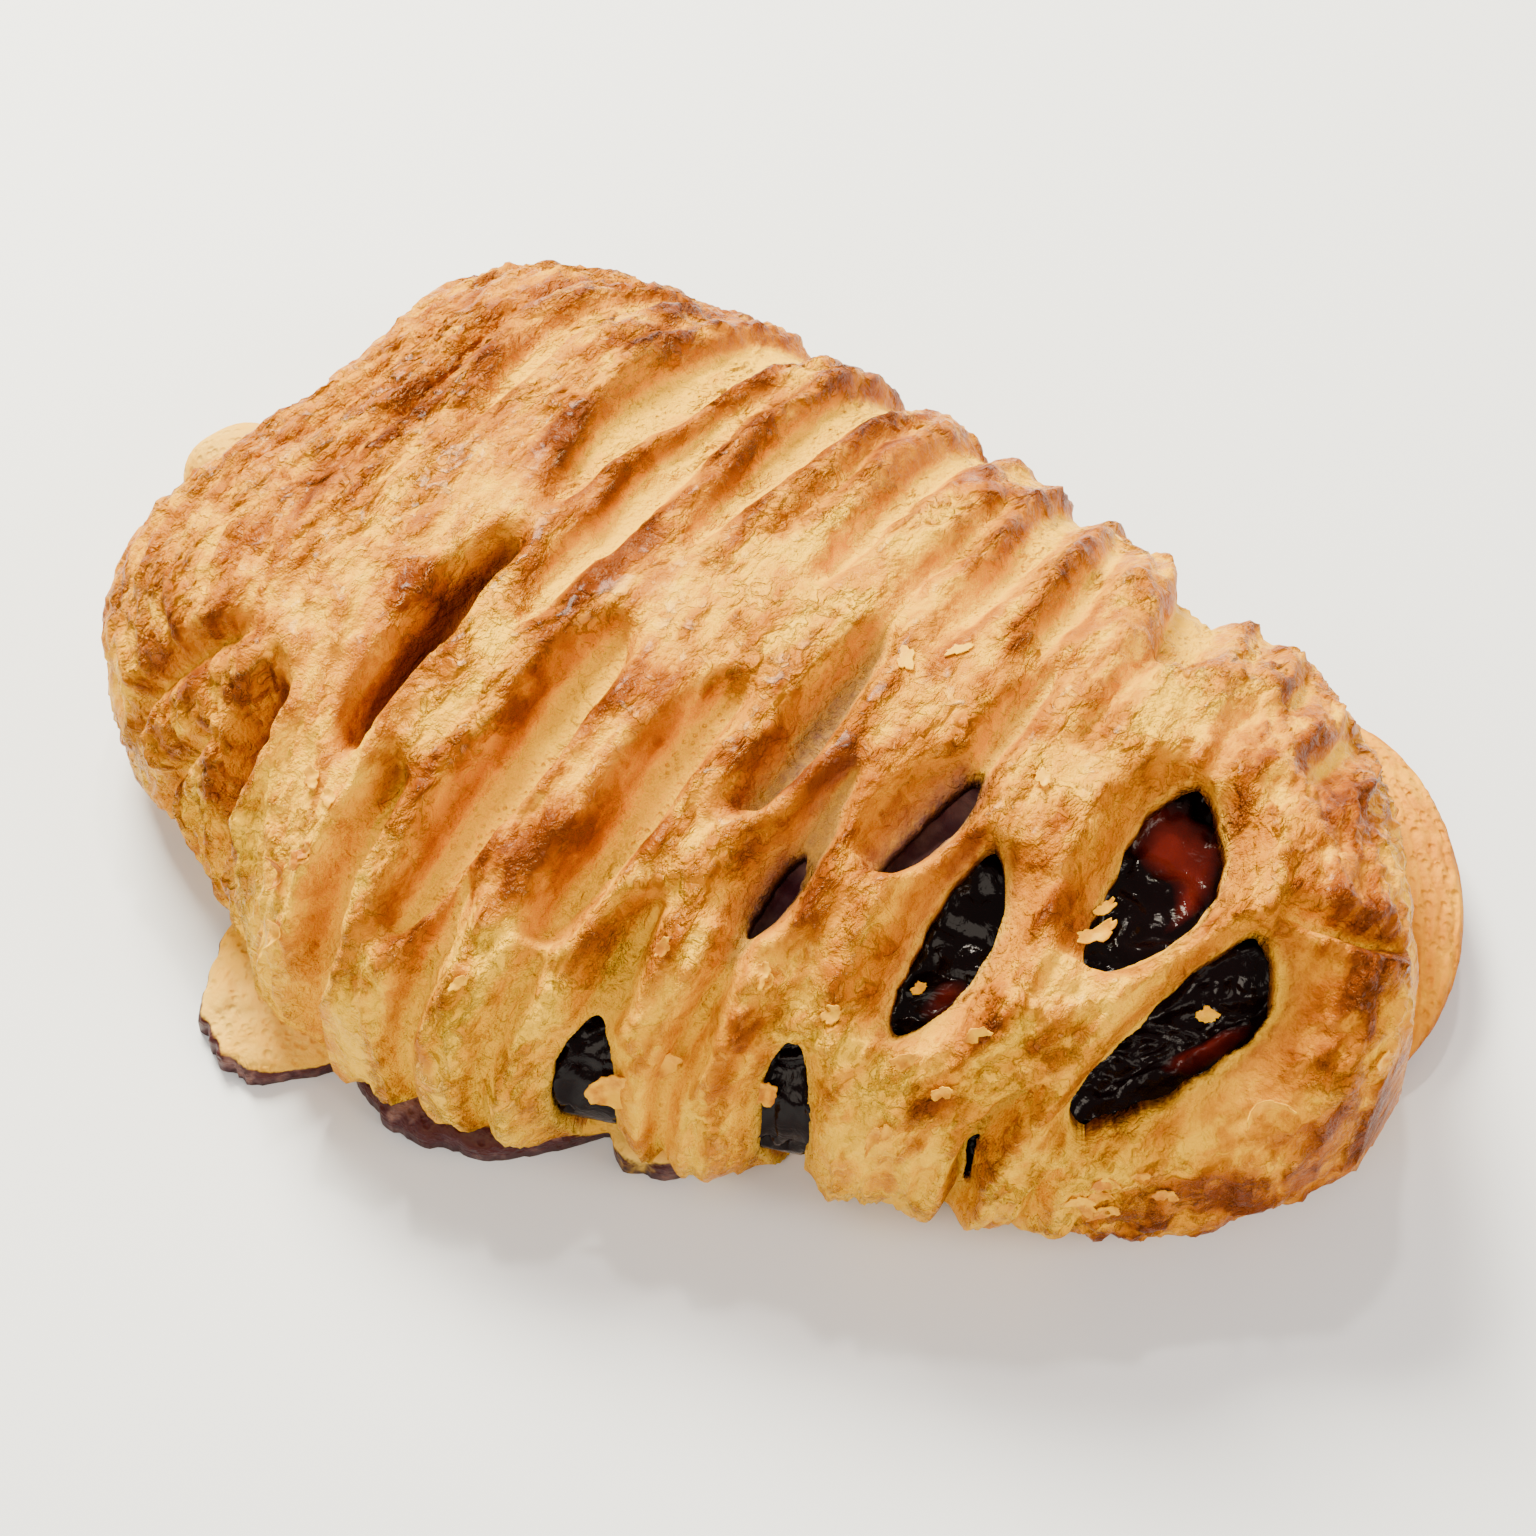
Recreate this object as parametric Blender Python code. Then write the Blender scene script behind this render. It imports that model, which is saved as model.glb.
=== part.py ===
"""Lattice danish: a slit puff pastry crust over a dark berry filling on a base sheet.

Blender 4.5, metres, +Z up, +X along the pastry, -Y towards its slit front side.
Run in Blender; the three solids are left in the collection "danish_pastry".
"""
from collections import namedtuple
from math import pi, radians

import bmesh
import bpy
import numpy as np

MM = 0.001

# ---------------------------------------------------------------- overall sizes
LENGTH = 154.9 * MM             # crust, end to end at its widest level
WIDTH = 106.5 * MM              # crust, across its middle
HEIGHT = 40.0 * MM              # top of the crust above the floor
EQUATOR = 11.0 * MM             # height of the widest level
CENTRE = (5.65 * MM, 3.22 * MM)  # plan centre of the loaf, from the middle of the whole
PLAN_POWER = 2.814              # plan outline, 2 is an ellipse and more is squarer
LONG_POWER = 4.0                # lengthwise arch
CROSS_POWER = 2.3               # crosswise arch
TAPER = 0.234                   # narrower towards +X
BOW = 3.96 * MM                 # both ends bent towards +Y
SKEW = -1.14 * MM
TUCK = radians(75)              # how far the side curls under
SHEET_EDGE = 0.86               # place on the sheet where the curl begins
WAVES_COS = {2: 0.006, 3: 0.002, 4: 0.018, 5: 0.005, 6: -0.013, 7: 0.020}
WAVES_SIN = {2: -0.002, 3: -0.003, 4: -0.013, 5: -0.031, 6: 0.014, 7: -0.005}

# ---------------------------------------------------------------- layers
GAP = 0.3 * MM                  # clearance between touching pieces
CRUST_THICKNESS = 4.6 * MM
BASE_THICKNESS = 4.5 * MM
BASE_TOP_INSET = 8.9 * MM       # upper edge of the base, in from the crust's widest level
BASE_CURL = 3.0 * MM            # how far its side slopes in further down to the floor
BASE_FLAT = 0.5                 # place on the base grid where the flat ends
CRUST_CURL = 8.15 * MM          # how far the crust's side curls in down to the floor
HOLLOW_CURL = 5.2 * MM
FILLING_CURL = 2.9 * MM
SHOULDER = 4.6 * MM             # radius of a strand's rounded side
SPAN_A = 112 * MM               # length of one sheet unit along
SPAN_B = 83 * MM                # length of one sheet unit across

# ---------------------------------------------------------------- slits
# Sheet places (along, across) from the back end of a slit to its front end,
# each in the range -1 to 1, then half the opening and the depth of the groove.
Slit = namedtuple("Slit", "name back front half_open depth")

OPENINGS = (
    Slit("eye", (0.458, 0.100), (0.474, -0.285), 6.0 * MM, 2.4 * MM),
    Slit("end", (0.606, -0.080), (0.704, -0.632), 8.2 * MM, 2.6 * MM),
    Slit("long", (0.319, -0.152), (0.387, -0.562), 4.2 * MM, 3.0 * MM),
    Slit("short", (0.245, -0.060), (0.228, -0.290), 1.7 * MM, 3.0 * MM),
    Slit("small", (0.152, -0.290), (0.162, -0.452), 1.4 * MM, 3.2 * MM),
    Slit("front_right", (0.284, -0.625), (0.384, -1.027), 3.3 * MM, 2.6 * MM),
    Slit("front_left", (0.072, -0.680), (0.104, -1.027), 3.7 * MM, 2.6 * MM),
)

CREASES = (
    Slit("deep_left", (-0.281, -0.030), (-0.291, -0.420), 1.2 * MM, 3.4 * MM),
    Slit("front_a", (-0.442, -0.400), (-0.560, -0.960), 1.2 * MM, 3.4 * MM),
    Slit("front_b", (-0.238, -0.420), (-0.292, -0.960), 0.7 * MM, 3.0 * MM),
    Slit("middle_a", (-0.136, -0.080), (-0.158, -0.640), 1.2 * MM, 2.8 * MM),
    Slit("middle_b", (0.002, -0.080), (-0.012, -0.580), 0.5 * MM, 2.4 * MM),
    Slit("front_c", (-0.106, -0.540), (-0.100, -0.960), 0.6 * MM, 2.6 * MM),
    Slit("front_d", (-0.016, -0.600), (-0.024, -0.960), 0.3 * MM, 1.6 * MM),
    Slit("middle_c", (0.080, 0.060), (0.089, -0.230), 0.9 * MM, 3.0 * MM),
    Slit("front_e", (0.062, -0.420), (0.076, -0.720), 0.8 * MM, 2.6 * MM),
    Slit("middle_d", (0.150, -0.110), (0.168, -0.540), 0.8 * MM, 2.8 * MM),
    Slit("front_f", (0.178, -0.560), (0.184, -0.960), 0.4 * MM, 2.0 * MM),
    Slit("front_g", (0.548, -0.550), (0.622, -0.960), 0.8 * MM, 3.2 * MM),
    Slit("front_h", (0.430, -0.600), (0.450, -0.940), 0.2 * MM, 1.2 * MM),
    Slit("eye_tail", (0.462, 0.260), (0.460, 0.060), 0.3 * MM, 1.0 * MM),
    Slit("end_left_a", (-0.610, -0.330), (-0.800, -0.580), 0.2 * MM, 1.0 * MM),
    Slit("end_left_b", (-0.590, -0.480), (-0.800, -0.760), 0.2 * MM, 1.2 * MM),
    Slit("back_a", (-0.440, 0.600), (-0.440, 0.080), 0.6 * MM, 0.9 * MM),
    Slit("back_b", (-0.262, 0.960), (-0.280, 0.030), 2.6 * MM, 2.4 * MM),
    Slit("back_c", (-0.199, 0.420), (-0.200, -0.220), 0.4 * MM, 2.0 * MM),
    Slit("back_d", (-0.128, 0.960), (-0.134, 0.080), 1.6 * MM, 2.6 * MM),
    Slit("back_e", (0.000, 0.960), (-0.004, 0.110), 0.8 * MM, 2.4 * MM),
    Slit("back_f", (0.158, 0.960), (0.147, 0.120), 0.9 * MM, 2.6 * MM),
    Slit("back_g", (0.200, 0.420), (0.200, 0.140), 0.2 * MM, 0.9 * MM),
    Slit("back_h", (0.236, 0.660), (0.232, 0.090), 0.5 * MM, 1.8 * MM),
    Slit("back_i", (0.325, 0.980), (0.330, 0.330), 2.6 * MM, 3.2 * MM),
    Slit("back_j", (0.428, 0.960), (0.420, 0.480), 0.8 * MM, 2.4 * MM),
    Slit("back_k", (0.520, 0.960), (0.500, 0.420), 0.8 * MM, 2.2 * MM),
    Slit("back_l", (0.640, 0.960), (0.580, 0.300), 1.0 * MM, 2.2 * MM),
)

# ---------------------------------------------------------------- base sheet
# Where the base stands out from under the crust: plan direction in degrees,
# half spread in degrees, reach past the crust's widest level and extra height.
Lobe = namedtuple("Lobe", "name direction spread reach rise")

LOBES = (
    Lobe("tongue", -128.0, 13.0, 8.4 * MM, -0.5 * MM),
    Lobe("hem", -101.0, 19.0, 1.6 * MM, -1.2 * MM),
    Lobe("scrap", -74.0, 8.0, -3.4 * MM, -1.2 * MM),
    Lobe("flap", 29.0, 28.0, 9.3 * MM, 6.0 * MM),
    Lobe("curl", 183.0, 10.5, 13.0 * MM, 17.0 * MM),
)

# Directions, with their half spans, where the crust's side stops above the base.
ROOMS = ((-104.0, 50.0), (29.0, 48.0), (183.0, 26.0))

# ---------------------------------------------------------------- mesh density
CRUST_GRID = (96, 21)
INNER_GRID = (28, 14)
BASE_GRID = (32, 16)
ROOM_GRID = (16, 6)
CUTTER_GRID = (1, 10)


def superunit(t, power):
    """Height of the unit superellipse |t|^p + h^p = 1 above the place t."""
    return np.maximum(1.0 - np.abs(t) ** power, 0.0) ** (1.0 / power)


def on_plan(a, b):
    """Square sheet place (a, b) to a place in the unit superellipse, no pole."""
    al = np.sin(a * pi / 2 * 0.8) / np.sin(pi / 2 * 0.8)
    be = np.sin(b * pi / 2 * 0.9) / np.sin(pi / 2 * 0.9)
    c = 2.0 ** (-1.0 / PLAN_POWER)
    return al * superunit(c * be, PLAN_POWER), be * superunit(c * al, PLAN_POWER)


def outline_wave(x, y):
    """Scale of the plan outline in the direction of (x, y)."""
    turn = np.arctan2(y, x)
    wave = sum(size * np.cos(k * turn) for k, size in WAVES_COS.items())
    wave = wave + sum(size * np.sin(k * turn) for k, size in WAVES_SIN.items())
    return 1.0 + wave * np.minimum(x * x + y * y, 1.4)


def to_floor_plan(x, y, inset):
    """Unit plan place to metres, drawn in by the inset and bent to the loaf."""
    wave = outline_wave(x, y)
    px = x * (LENGTH / 2 - inset) * wave
    py = y * (WIDTH / 2 - inset) * wave
    py = py * (1.0 - TAPER * x) + BOW * x * x + SKEW * x
    return px, py


def outward(x, y):
    """Unit outward direction of the plan outline at the plan place (x, y)."""
    nx = np.sign(x) * np.abs(x) ** (PLAN_POWER - 1) / (LENGTH / 2)
    ny = np.sign(y) * np.abs(y) ** (PLAN_POWER - 1) / (WIDTH / 2)
    size = np.maximum(np.hypot(nx, ny), 1e-9)
    return nx / size, ny / size


def loaf(a, b, inset=0.0, floor=0.0, curl_in=CRUST_CURL):
    """Point of the loaf's skin at the sheet place (a, b), as an (n, 3) array.

    Inside SHEET_EDGE the sheet is the domed top; outside, it curls under from
    the widest level down to the given floor height.
    """
    a, b = np.broadcast_arrays(np.asarray(a, float), np.asarray(b, float))
    r = np.maximum(np.abs(a), np.abs(b))
    k = np.where(r > SHEET_EDGE, r, SHEET_EDGE)
    x, y = on_plan(a / k, b / k)
    half_chord = np.maximum(superunit(np.clip(x, -1, 1), PLAN_POWER), 1e-6)
    arch = superunit(x, LONG_POWER) * superunit(np.clip(y / half_chord, -1, 1), CROSS_POWER)
    z = EQUATOR + (HEIGHT - inset - EQUATOR) * arch
    px, py = to_floor_plan(x, y, inset)
    curl = np.maximum((r - SHEET_EDGE) / (1.0 - SHEET_EDGE), 0.0) * TUCK
    drop = EQUATOR - floor
    z = np.where(curl > 0, EQUATOR - drop * np.sin(curl) / np.sin(TUCK), z)
    nx, ny = outward(x, y)
    drawn = curl_in * (1.0 - np.cos(curl)) / (1.0 - np.cos(TUCK))
    px = px - drawn * nx + CENTRE[0]
    py = py - drawn * ny + CENTRE[1]
    return np.stack([px, py, z], axis=-1)


def skin_normal(a, b):
    """Outward unit normal of the loaf's skin by small steps on the sheet."""
    step = 0.004
    along = loaf(a + step, b) - loaf(a - step, b)
    across = loaf(a, b + step) - loaf(a, b - step)
    normal = np.cross(along, across)
    return normal / np.maximum(np.linalg.norm(normal, axis=-1, keepdims=True), 1e-12)


def groove(slit, a, b):
    """Depth carved at (a, b) by one slit: flat along its opening, round beside it."""
    back = np.array(slit.back) * (SPAN_A, SPAN_B)
    run = np.array(slit.front) * (SPAN_A, SPAN_B) - back
    at = np.stack([a * SPAN_A, b * SPAN_B], axis=-1) - back
    t = np.clip(at @ run / (run @ run), 0.0, 1.0)
    away = np.linalg.norm(at - t[..., None] * run, axis=-1)
    lens = np.maximum(1.0 - (2.0 * t - 1.0) ** 2, 0.0)
    beside = np.clip((away - slit.half_open * lens ** 0.7) / SHOULDER, 0.0, 1.0)
    side = 1.0 - np.sqrt(np.maximum(1.0 - (1.0 - beside) ** 2, 0.0))
    return slit.depth * (0.35 + 0.65 * lens ** 0.4) * side


def carve(a, b):
    """Depth of all the grooves, fading out where the skin meets the floor."""
    depth = np.zeros(np.shape(a))
    for slit in OPENINGS + CREASES:
        depth = np.maximum(depth, groove(slit, a, b))
    r = np.maximum(np.abs(a), np.abs(b))
    return depth * np.clip((0.985 - r) / 0.04, 0.0, 1.0)


def unevenness(a, b):
    """Low swells of the baked skin, at most about a millimetre."""
    swell = np.sin(9.1 * a + 2.3 * b) * np.sin(5.7 * b - 1.1) + 0.6 * np.sin(21.0 * a - 6.0 * b + 0.7)
    r = np.maximum(np.abs(a), np.abs(b))
    return 0.4 * MM * (swell - 1.6) * np.clip((0.985 - r) / 0.1, 0.0, 1.0)


def crust_skin(a, b):
    """Outer face of the crust: the loaf with its strands and grooves."""
    relief = unevenness(a, b) - carve(a, b)
    return loaf(a, b) + skin_normal(a, b) * relief[..., None]


def crust_hollow(a, b):
    """Inner face of the crust, carried on through the floor."""
    return loaf(a, b, CRUST_THICKNESS, -1.0 * MM, HOLLOW_CURL)


def filling_skin(a, b):
    """Filling just inside the crust, flat where it lies on the base sheet."""
    return loaf(a, b, CRUST_THICKNESS + GAP, BASE_THICKNESS + GAP, FILLING_CURL)


def lobe_sizes(turn, slack=0.0):
    """Share of a lobe, its reach from the plain edge and its rise at a direction."""
    share = np.zeros_like(turn)
    reach = np.zeros_like(turn)
    rise = np.zeros_like(turn)
    for lobe in LOBES:
        off = np.abs((turn - lobe.direction + 180.0) % 360.0 - 180.0)
        bell = np.exp(-(np.maximum(off - slack, 0.0) / lobe.spread) ** 3.2)
        share = np.maximum(share, bell)
        reach = np.maximum(reach, (lobe.reach + BASE_TOP_INSET) * bell)
        rise = rise + lobe.rise * bell
    return share, reach, rise


def sheet_top(out, rise):
    """Height of the base sheet's top at a distance past its plain upper edge."""
    climb = np.clip((out - BASE_TOP_INSET + 3.5 * MM) / (5.5 * MM), 0.0, 1.0)
    return BASE_THICKNESS + rise * climb * climb * (3.0 - 2.0 * climb)


def base_skin(a, b):
    """Base sheet with its tongue and flaps, tucked inside the crust elsewhere."""
    r = np.maximum(np.abs(a), np.abs(b))
    rim = np.maximum(r, 1e-6)
    x, y = on_plan(a / rim, b / rim)
    share, reach, rise = lobe_sizes(np.degrees(np.arctan2(y * WIDTH, x * LENGTH)))
    edge = np.maximum((r - BASE_FLAT) / (1.0 - BASE_FLAT), 0.0) * pi / 2
    out = reach * np.sin(edge) - (1.0 - share) * BASE_CURL * (1.0 - np.cos(edge))
    px, py = to_floor_plan(x, y, BASE_TOP_INSET)
    nx, ny = outward(x, y)
    inner = np.minimum(r / BASE_FLAT, 1.0)
    px = px * inner + nx * out + CENTRE[0]
    py = py * inner + ny * out + CENTRE[1]
    lip = sheet_top(out, rise) * np.maximum(np.cos(edge), 0.0) ** 0.2
    slope = BASE_THICKNESS * (1.0 - np.sin(edge))
    return np.stack([px, py, share * lip + (1.0 - share) * slope], axis=-1)


def base_room(direction, half_span, collection):
    """Block that clears the crust above the lobes of one stretch of the base."""
    bm = bmesh.new()
    bmesh.ops.create_grid(bm, x_segments=ROOM_GRID[0], y_segments=ROOM_GRID[1], size=1.0)
    lower = list(bm.verts)
    upper = bmesh.ops.extrude_face_region(bm, geom=list(bm.faces))["geom"]
    upper = [item for item in upper if isinstance(item, bmesh.types.BMVert)]
    for verts, side in ((lower, 0.0), (upper, 1.0)):
        turn = direction + half_span * np.array([vert.co.x for vert in verts])
        tx = np.cos(np.radians(turn)) / LENGTH
        ty = np.sin(np.radians(turn)) / WIDTH
        size = (np.abs(tx) ** PLAN_POWER + np.abs(ty) ** PLAN_POWER) ** (1.0 / PLAN_POWER)
        x, y = tx / size, ty / size
        out = 11.0 * MM * np.array([vert.co.y for vert in verts]) + 3.0 * MM
        px, py = to_floor_plan(x, y, BASE_TOP_INSET)
        nx, ny = outward(x, y)
        top = sheet_top(out + 1.5 * MM, lobe_sizes(turn, 4.0)[2]) + 4.5 * GAP
        z = side * top - (1.0 - side) * MM
        points = np.stack([px + nx * out + CENTRE[0], py + ny * out + CENTRE[1], z], axis=-1)
        place_verts(verts, points)
    return new_object(f"cut_base_{direction:.0f}", bm, collection)


def new_object(name, bm, collection):
    """Mesh object from a bmesh, in triangles that face outward."""
    bmesh.ops.triangulate(bm, faces=bm.faces)
    bmesh.ops.recalc_face_normals(bm, faces=bm.faces)
    mesh = bpy.data.meshes.new(name)
    bm.to_mesh(mesh)
    bm.free()
    item = bpy.data.objects.new(name, mesh)
    collection.objects.link(item)
    return item


def place_verts(verts, points):
    """Move each vertex to its row of the points."""
    for vert, point in zip(verts, points):
        vert.co = point.tolist()


def sheet_solid(name, grid, shape, collection):
    """Closed solid: a square grid laid over a skin, its rim capped underneath."""
    bm = bmesh.new()
    bmesh.ops.create_grid(bm, x_segments=grid[0], y_segments=grid[1], size=1.0)
    sheet = np.array([vert.co[:2] for vert in bm.verts])
    place_verts(bm.verts, shape(sheet[:, 0], sheet[:, 1]))
    rim = [edge for edge in bm.edges if edge.is_boundary]
    bmesh.ops.holes_fill(bm, edges=rim, sides=0)
    return new_object(name, bm, collection)


def slit_cutter(slit, collection):
    """Lens-shaped plug through the crust along one opening."""
    bm = bmesh.new()
    bmesh.ops.create_grid(bm, x_segments=CUTTER_GRID[0], y_segments=CUTTER_GRID[1], size=1.0)
    lower = list(bm.verts)
    upper = bmesh.ops.extrude_face_region(bm, geom=list(bm.faces))["geom"]
    upper = [item for item in upper if isinstance(item, bmesh.types.BMVert)]
    middle = (np.array(slit.back) + slit.front) / 2
    half_run = (np.array(slit.back) - slit.front) / 2
    for verts, inset in ((lower, 3.0 * CRUST_THICKNESS), (upper, -CRUST_THICKNESS)):
        u = np.array([vert.co.x for vert in verts])
        v = np.sin(np.array([vert.co.y for vert in verts]) * pi / 2)
        lens = np.maximum(1.0 - v * v, 0.01) ** 0.65 * slit.half_open / SPAN_A
        a = middle[0] + half_run[0] * v + u * lens
        b = middle[1] + half_run[1] * v
        place_verts(verts, loaf(a, b, inset))
    return new_object("cut_" + slit.name, bm, collection)


def subtract(item, cutter):
    """Boolean difference, applied straight away.

    The exact solver loses the shell where the curled foot is cut, so this uses
    the manifold one; every solid here is closed.
    """
    cut = item.modifiers.new(cutter.name, "BOOLEAN")
    cut.operation = "DIFFERENCE"
    cut.solver = "MANIFOLD"
    cut.object = cutter
    graph = bpy.context.evaluated_depsgraph_get()
    result = bpy.data.meshes.new_from_object(item.evaluated_get(graph), depsgraph=graph)
    item.modifiers.clear()
    item.data = result


def make_material(name, colour, roughness):
    """Plain Principled material."""
    material = bpy.data.materials.new(name)
    material.use_nodes = True
    shader = material.node_tree.nodes["Principled BSDF"]
    shader.inputs["Base Color"].default_value = (*colour, 1.0)
    shader.inputs["Roughness"].default_value = roughness
    shader.inputs["Metallic"].default_value = 0.0
    material.diffuse_color = (*colour, 1.0)
    return material


def make_collection(name):
    """New collection under the scene."""
    collection = bpy.data.collections.new(name)
    bpy.context.scene.collection.children.link(collection)
    return collection


def make_crust(parts, cutters):
    """Hollow loaf shell with its slits cut through and room for the base."""
    crust = sheet_solid("lattice_crust", CRUST_GRID, crust_skin, parts)
    subtract(crust, sheet_solid("cut_hollow", INNER_GRID, crust_hollow, cutters))
    for direction, half_span in ROOMS:
        subtract(crust, base_room(direction, half_span, cutters))
    for slit in OPENINGS:
        subtract(crust, slit_cutter(slit, cutters))
    crust.data.materials.append(make_material("baked_crust", (0.70, 0.38, 0.12), 0.42))
    return crust


def make_filling(parts):
    """Berry filling, one mound under the whole crust."""
    filling = sheet_solid("berry_filling", INNER_GRID, filling_skin, parts)
    filling.data.materials.append(make_material("berry_jam", (0.030, 0.006, 0.016), 0.18))
    return filling


def make_base(parts):
    """Base sheet of dough that the pastry rests on."""
    base = sheet_solid("base_crust", BASE_GRID, base_skin, parts)
    base.data.materials.append(make_material("base_dough", (0.78, 0.62, 0.36), 0.60))
    return base


def main():
    """Clear the scene and build the pastry."""
    for item in list(bpy.data.objects):
        bpy.data.objects.remove(item, do_unlink=True)
    parts = make_collection("danish_pastry")
    cutters = make_collection("cutters")
    cutters.hide_render = True
    make_base(parts)
    make_filling(parts)
    make_crust(parts, cutters)
    for item in cutters.objects:
        item.hide_render = True
        item.display_type = "WIRE"


main()
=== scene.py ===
"""Looks of the lattice danish: crust, jam, base sheet, flakes and stage."""
from collections import namedtuple
from math import cos, pi, radians, sin

import bpy
import numpy as np
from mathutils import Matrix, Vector, noise
from mathutils.kdtree import KDTree


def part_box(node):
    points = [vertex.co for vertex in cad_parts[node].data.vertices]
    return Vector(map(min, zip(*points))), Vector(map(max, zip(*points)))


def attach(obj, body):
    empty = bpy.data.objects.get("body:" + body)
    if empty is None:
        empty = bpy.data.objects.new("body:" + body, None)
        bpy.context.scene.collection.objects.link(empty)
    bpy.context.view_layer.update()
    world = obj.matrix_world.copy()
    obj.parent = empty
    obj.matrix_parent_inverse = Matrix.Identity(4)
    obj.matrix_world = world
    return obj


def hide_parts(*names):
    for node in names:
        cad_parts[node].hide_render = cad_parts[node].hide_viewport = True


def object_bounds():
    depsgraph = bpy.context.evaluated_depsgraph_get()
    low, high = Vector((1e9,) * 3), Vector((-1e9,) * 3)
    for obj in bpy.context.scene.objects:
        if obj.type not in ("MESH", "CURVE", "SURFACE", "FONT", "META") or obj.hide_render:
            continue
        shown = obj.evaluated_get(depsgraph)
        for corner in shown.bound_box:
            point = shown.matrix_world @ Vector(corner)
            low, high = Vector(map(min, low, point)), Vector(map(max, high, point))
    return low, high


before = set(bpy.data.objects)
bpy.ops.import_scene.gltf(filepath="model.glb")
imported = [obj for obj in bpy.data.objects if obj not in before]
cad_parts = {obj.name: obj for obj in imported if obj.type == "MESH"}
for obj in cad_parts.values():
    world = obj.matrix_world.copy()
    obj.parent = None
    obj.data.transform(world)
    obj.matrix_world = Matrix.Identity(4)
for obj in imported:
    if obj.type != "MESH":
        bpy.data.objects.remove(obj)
CAD_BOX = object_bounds()

bl_info = {
    "name": "Lattice danish",
    "version": (1, 0, 0),
    "blender": (4, 5, 0),
    "location": "View3D > Sidebar > Danish",
    "description": "Builds the looks of a berry-filled lattice danish",
    "category": "Object",
}

MM = 0.001

# ------------------------------------------------------------------ the loaf
LENGTH = 154.9 * MM
WIDTH = 106.5 * MM
HEIGHT = 40.0 * MM
EQUATOR = 11.0 * MM
CENTRE = (5.65 * MM, 3.22 * MM)
PLAN_POWER = 2.814
LONG_POWER = 4.0
CROSS_POWER = 2.3
TAPER = 0.234
BOW = 3.96 * MM
SKEW = -1.14 * MM
TUCK = radians(75)
SHEET_EDGE = 0.86
GAP = 0.3 * MM
WAVES_COS = {2: 0.006, 3: 0.002, 4: 0.018, 5: 0.005, 6: -0.013, 7: 0.020}
WAVES_SIN = {2: -0.002, 3: -0.003, 4: -0.013, 5: -0.031, 6: 0.014, 7: -0.005}
CRUST_THICKNESS = 4.6 * MM
BASE_THICKNESS = 4.5 * MM
BASE_TOP_INSET = 8.9 * MM
BASE_CURL = 3.0 * MM
BASE_FLAT = 0.35
CRUST_CURL = 8.15 * MM
HOLLOW_CURL = 5.2 * MM
FILLING_CURL = 2.9 * MM
SPAN = np.array([112 * MM, 83 * MM])
LENS_POWER = 0.52
DEEP_CREASE = 6.4 * MM
CREASE_SWAY = 0.007
TOP_ROOM = 1.2 * MM
TOP_SOFTNESS = 1.1 * MM
PLUG_ABOVE = 4.0 * MM
PLUG_BELOW = 11.0 * MM
FLAKE_THICKNESS = 0.14 * MM

# Grid cells along and across each piece. The crust's are settings.
HOLLOW_GRID = (150, 96)
PLUG_GRID = (2, 40)
FILLING_GRID = (250, 190)
BASE_GRID = (260, 170)
FLAKE_GRID = (10, 12)

# Each slit runs from its back end to its front end on the crust's sheet, bowed
# sideways, with half the width of its floor, its depth, the widths of the rolled
# strands' shoulders on its left and right, how much wider it is towards its back
# end, and how far the jam has stained it.
Slit = namedtuple("Slit", "name back front bow half_open depth left right fat stain")


def slit(name, back, front, half_open, depth, left=4.0, right=3.0, bow=0.0, fat=0.0, stain=0.0):
    """One slit, its sizes in millimetres."""
    sizes = (size * MM for size in (bow, half_open, depth, left, right))
    return Slit(name, back, front, *sizes, fat, stain)


OPENINGS = (
    slit("eye", (0.458, 0.125), (0.474, -0.290), 6.2, 6.2, 5.4, 6.4, fat=0.30, stain=0.3),
    slit("end", (0.600, -0.080), (0.704, -0.672), 9.0, 7.0, 4.6, 11.0, bow=0.8, fat=0.02, stain=0.2),
    slit("long", (0.305, -0.150), (0.376, -0.564), 4.0, 6.2, 5.0, 6.0, fat=0.05, stain=0.4),
    slit("short", (0.243, -0.040), (0.228, -0.274), 1.8, 6.0, 5.4, 4.2, fat=0.10, stain=1.0),
    slit("small", (0.150, -0.270), (0.163, -0.454), 1.5, 6.0, 5.0, 4.2, fat=-0.1, stain=1.0),
    slit("front_right", (0.284, -0.625), (0.384, -1.027), 3.6, 4.6, 5.0, 5.0, fat=-0.3, stain=0.3),
    slit("front_left", (0.072, -0.676), (0.104, -1.027), 4.2, 4.6, 5.0, 5.0, fat=-0.4, stain=0.3),
    slit("pin", (-0.258, -0.680), (-0.268, -0.800), 0.7, 3.6, 3.0, 2.6, stain=0.6),
)

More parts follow.
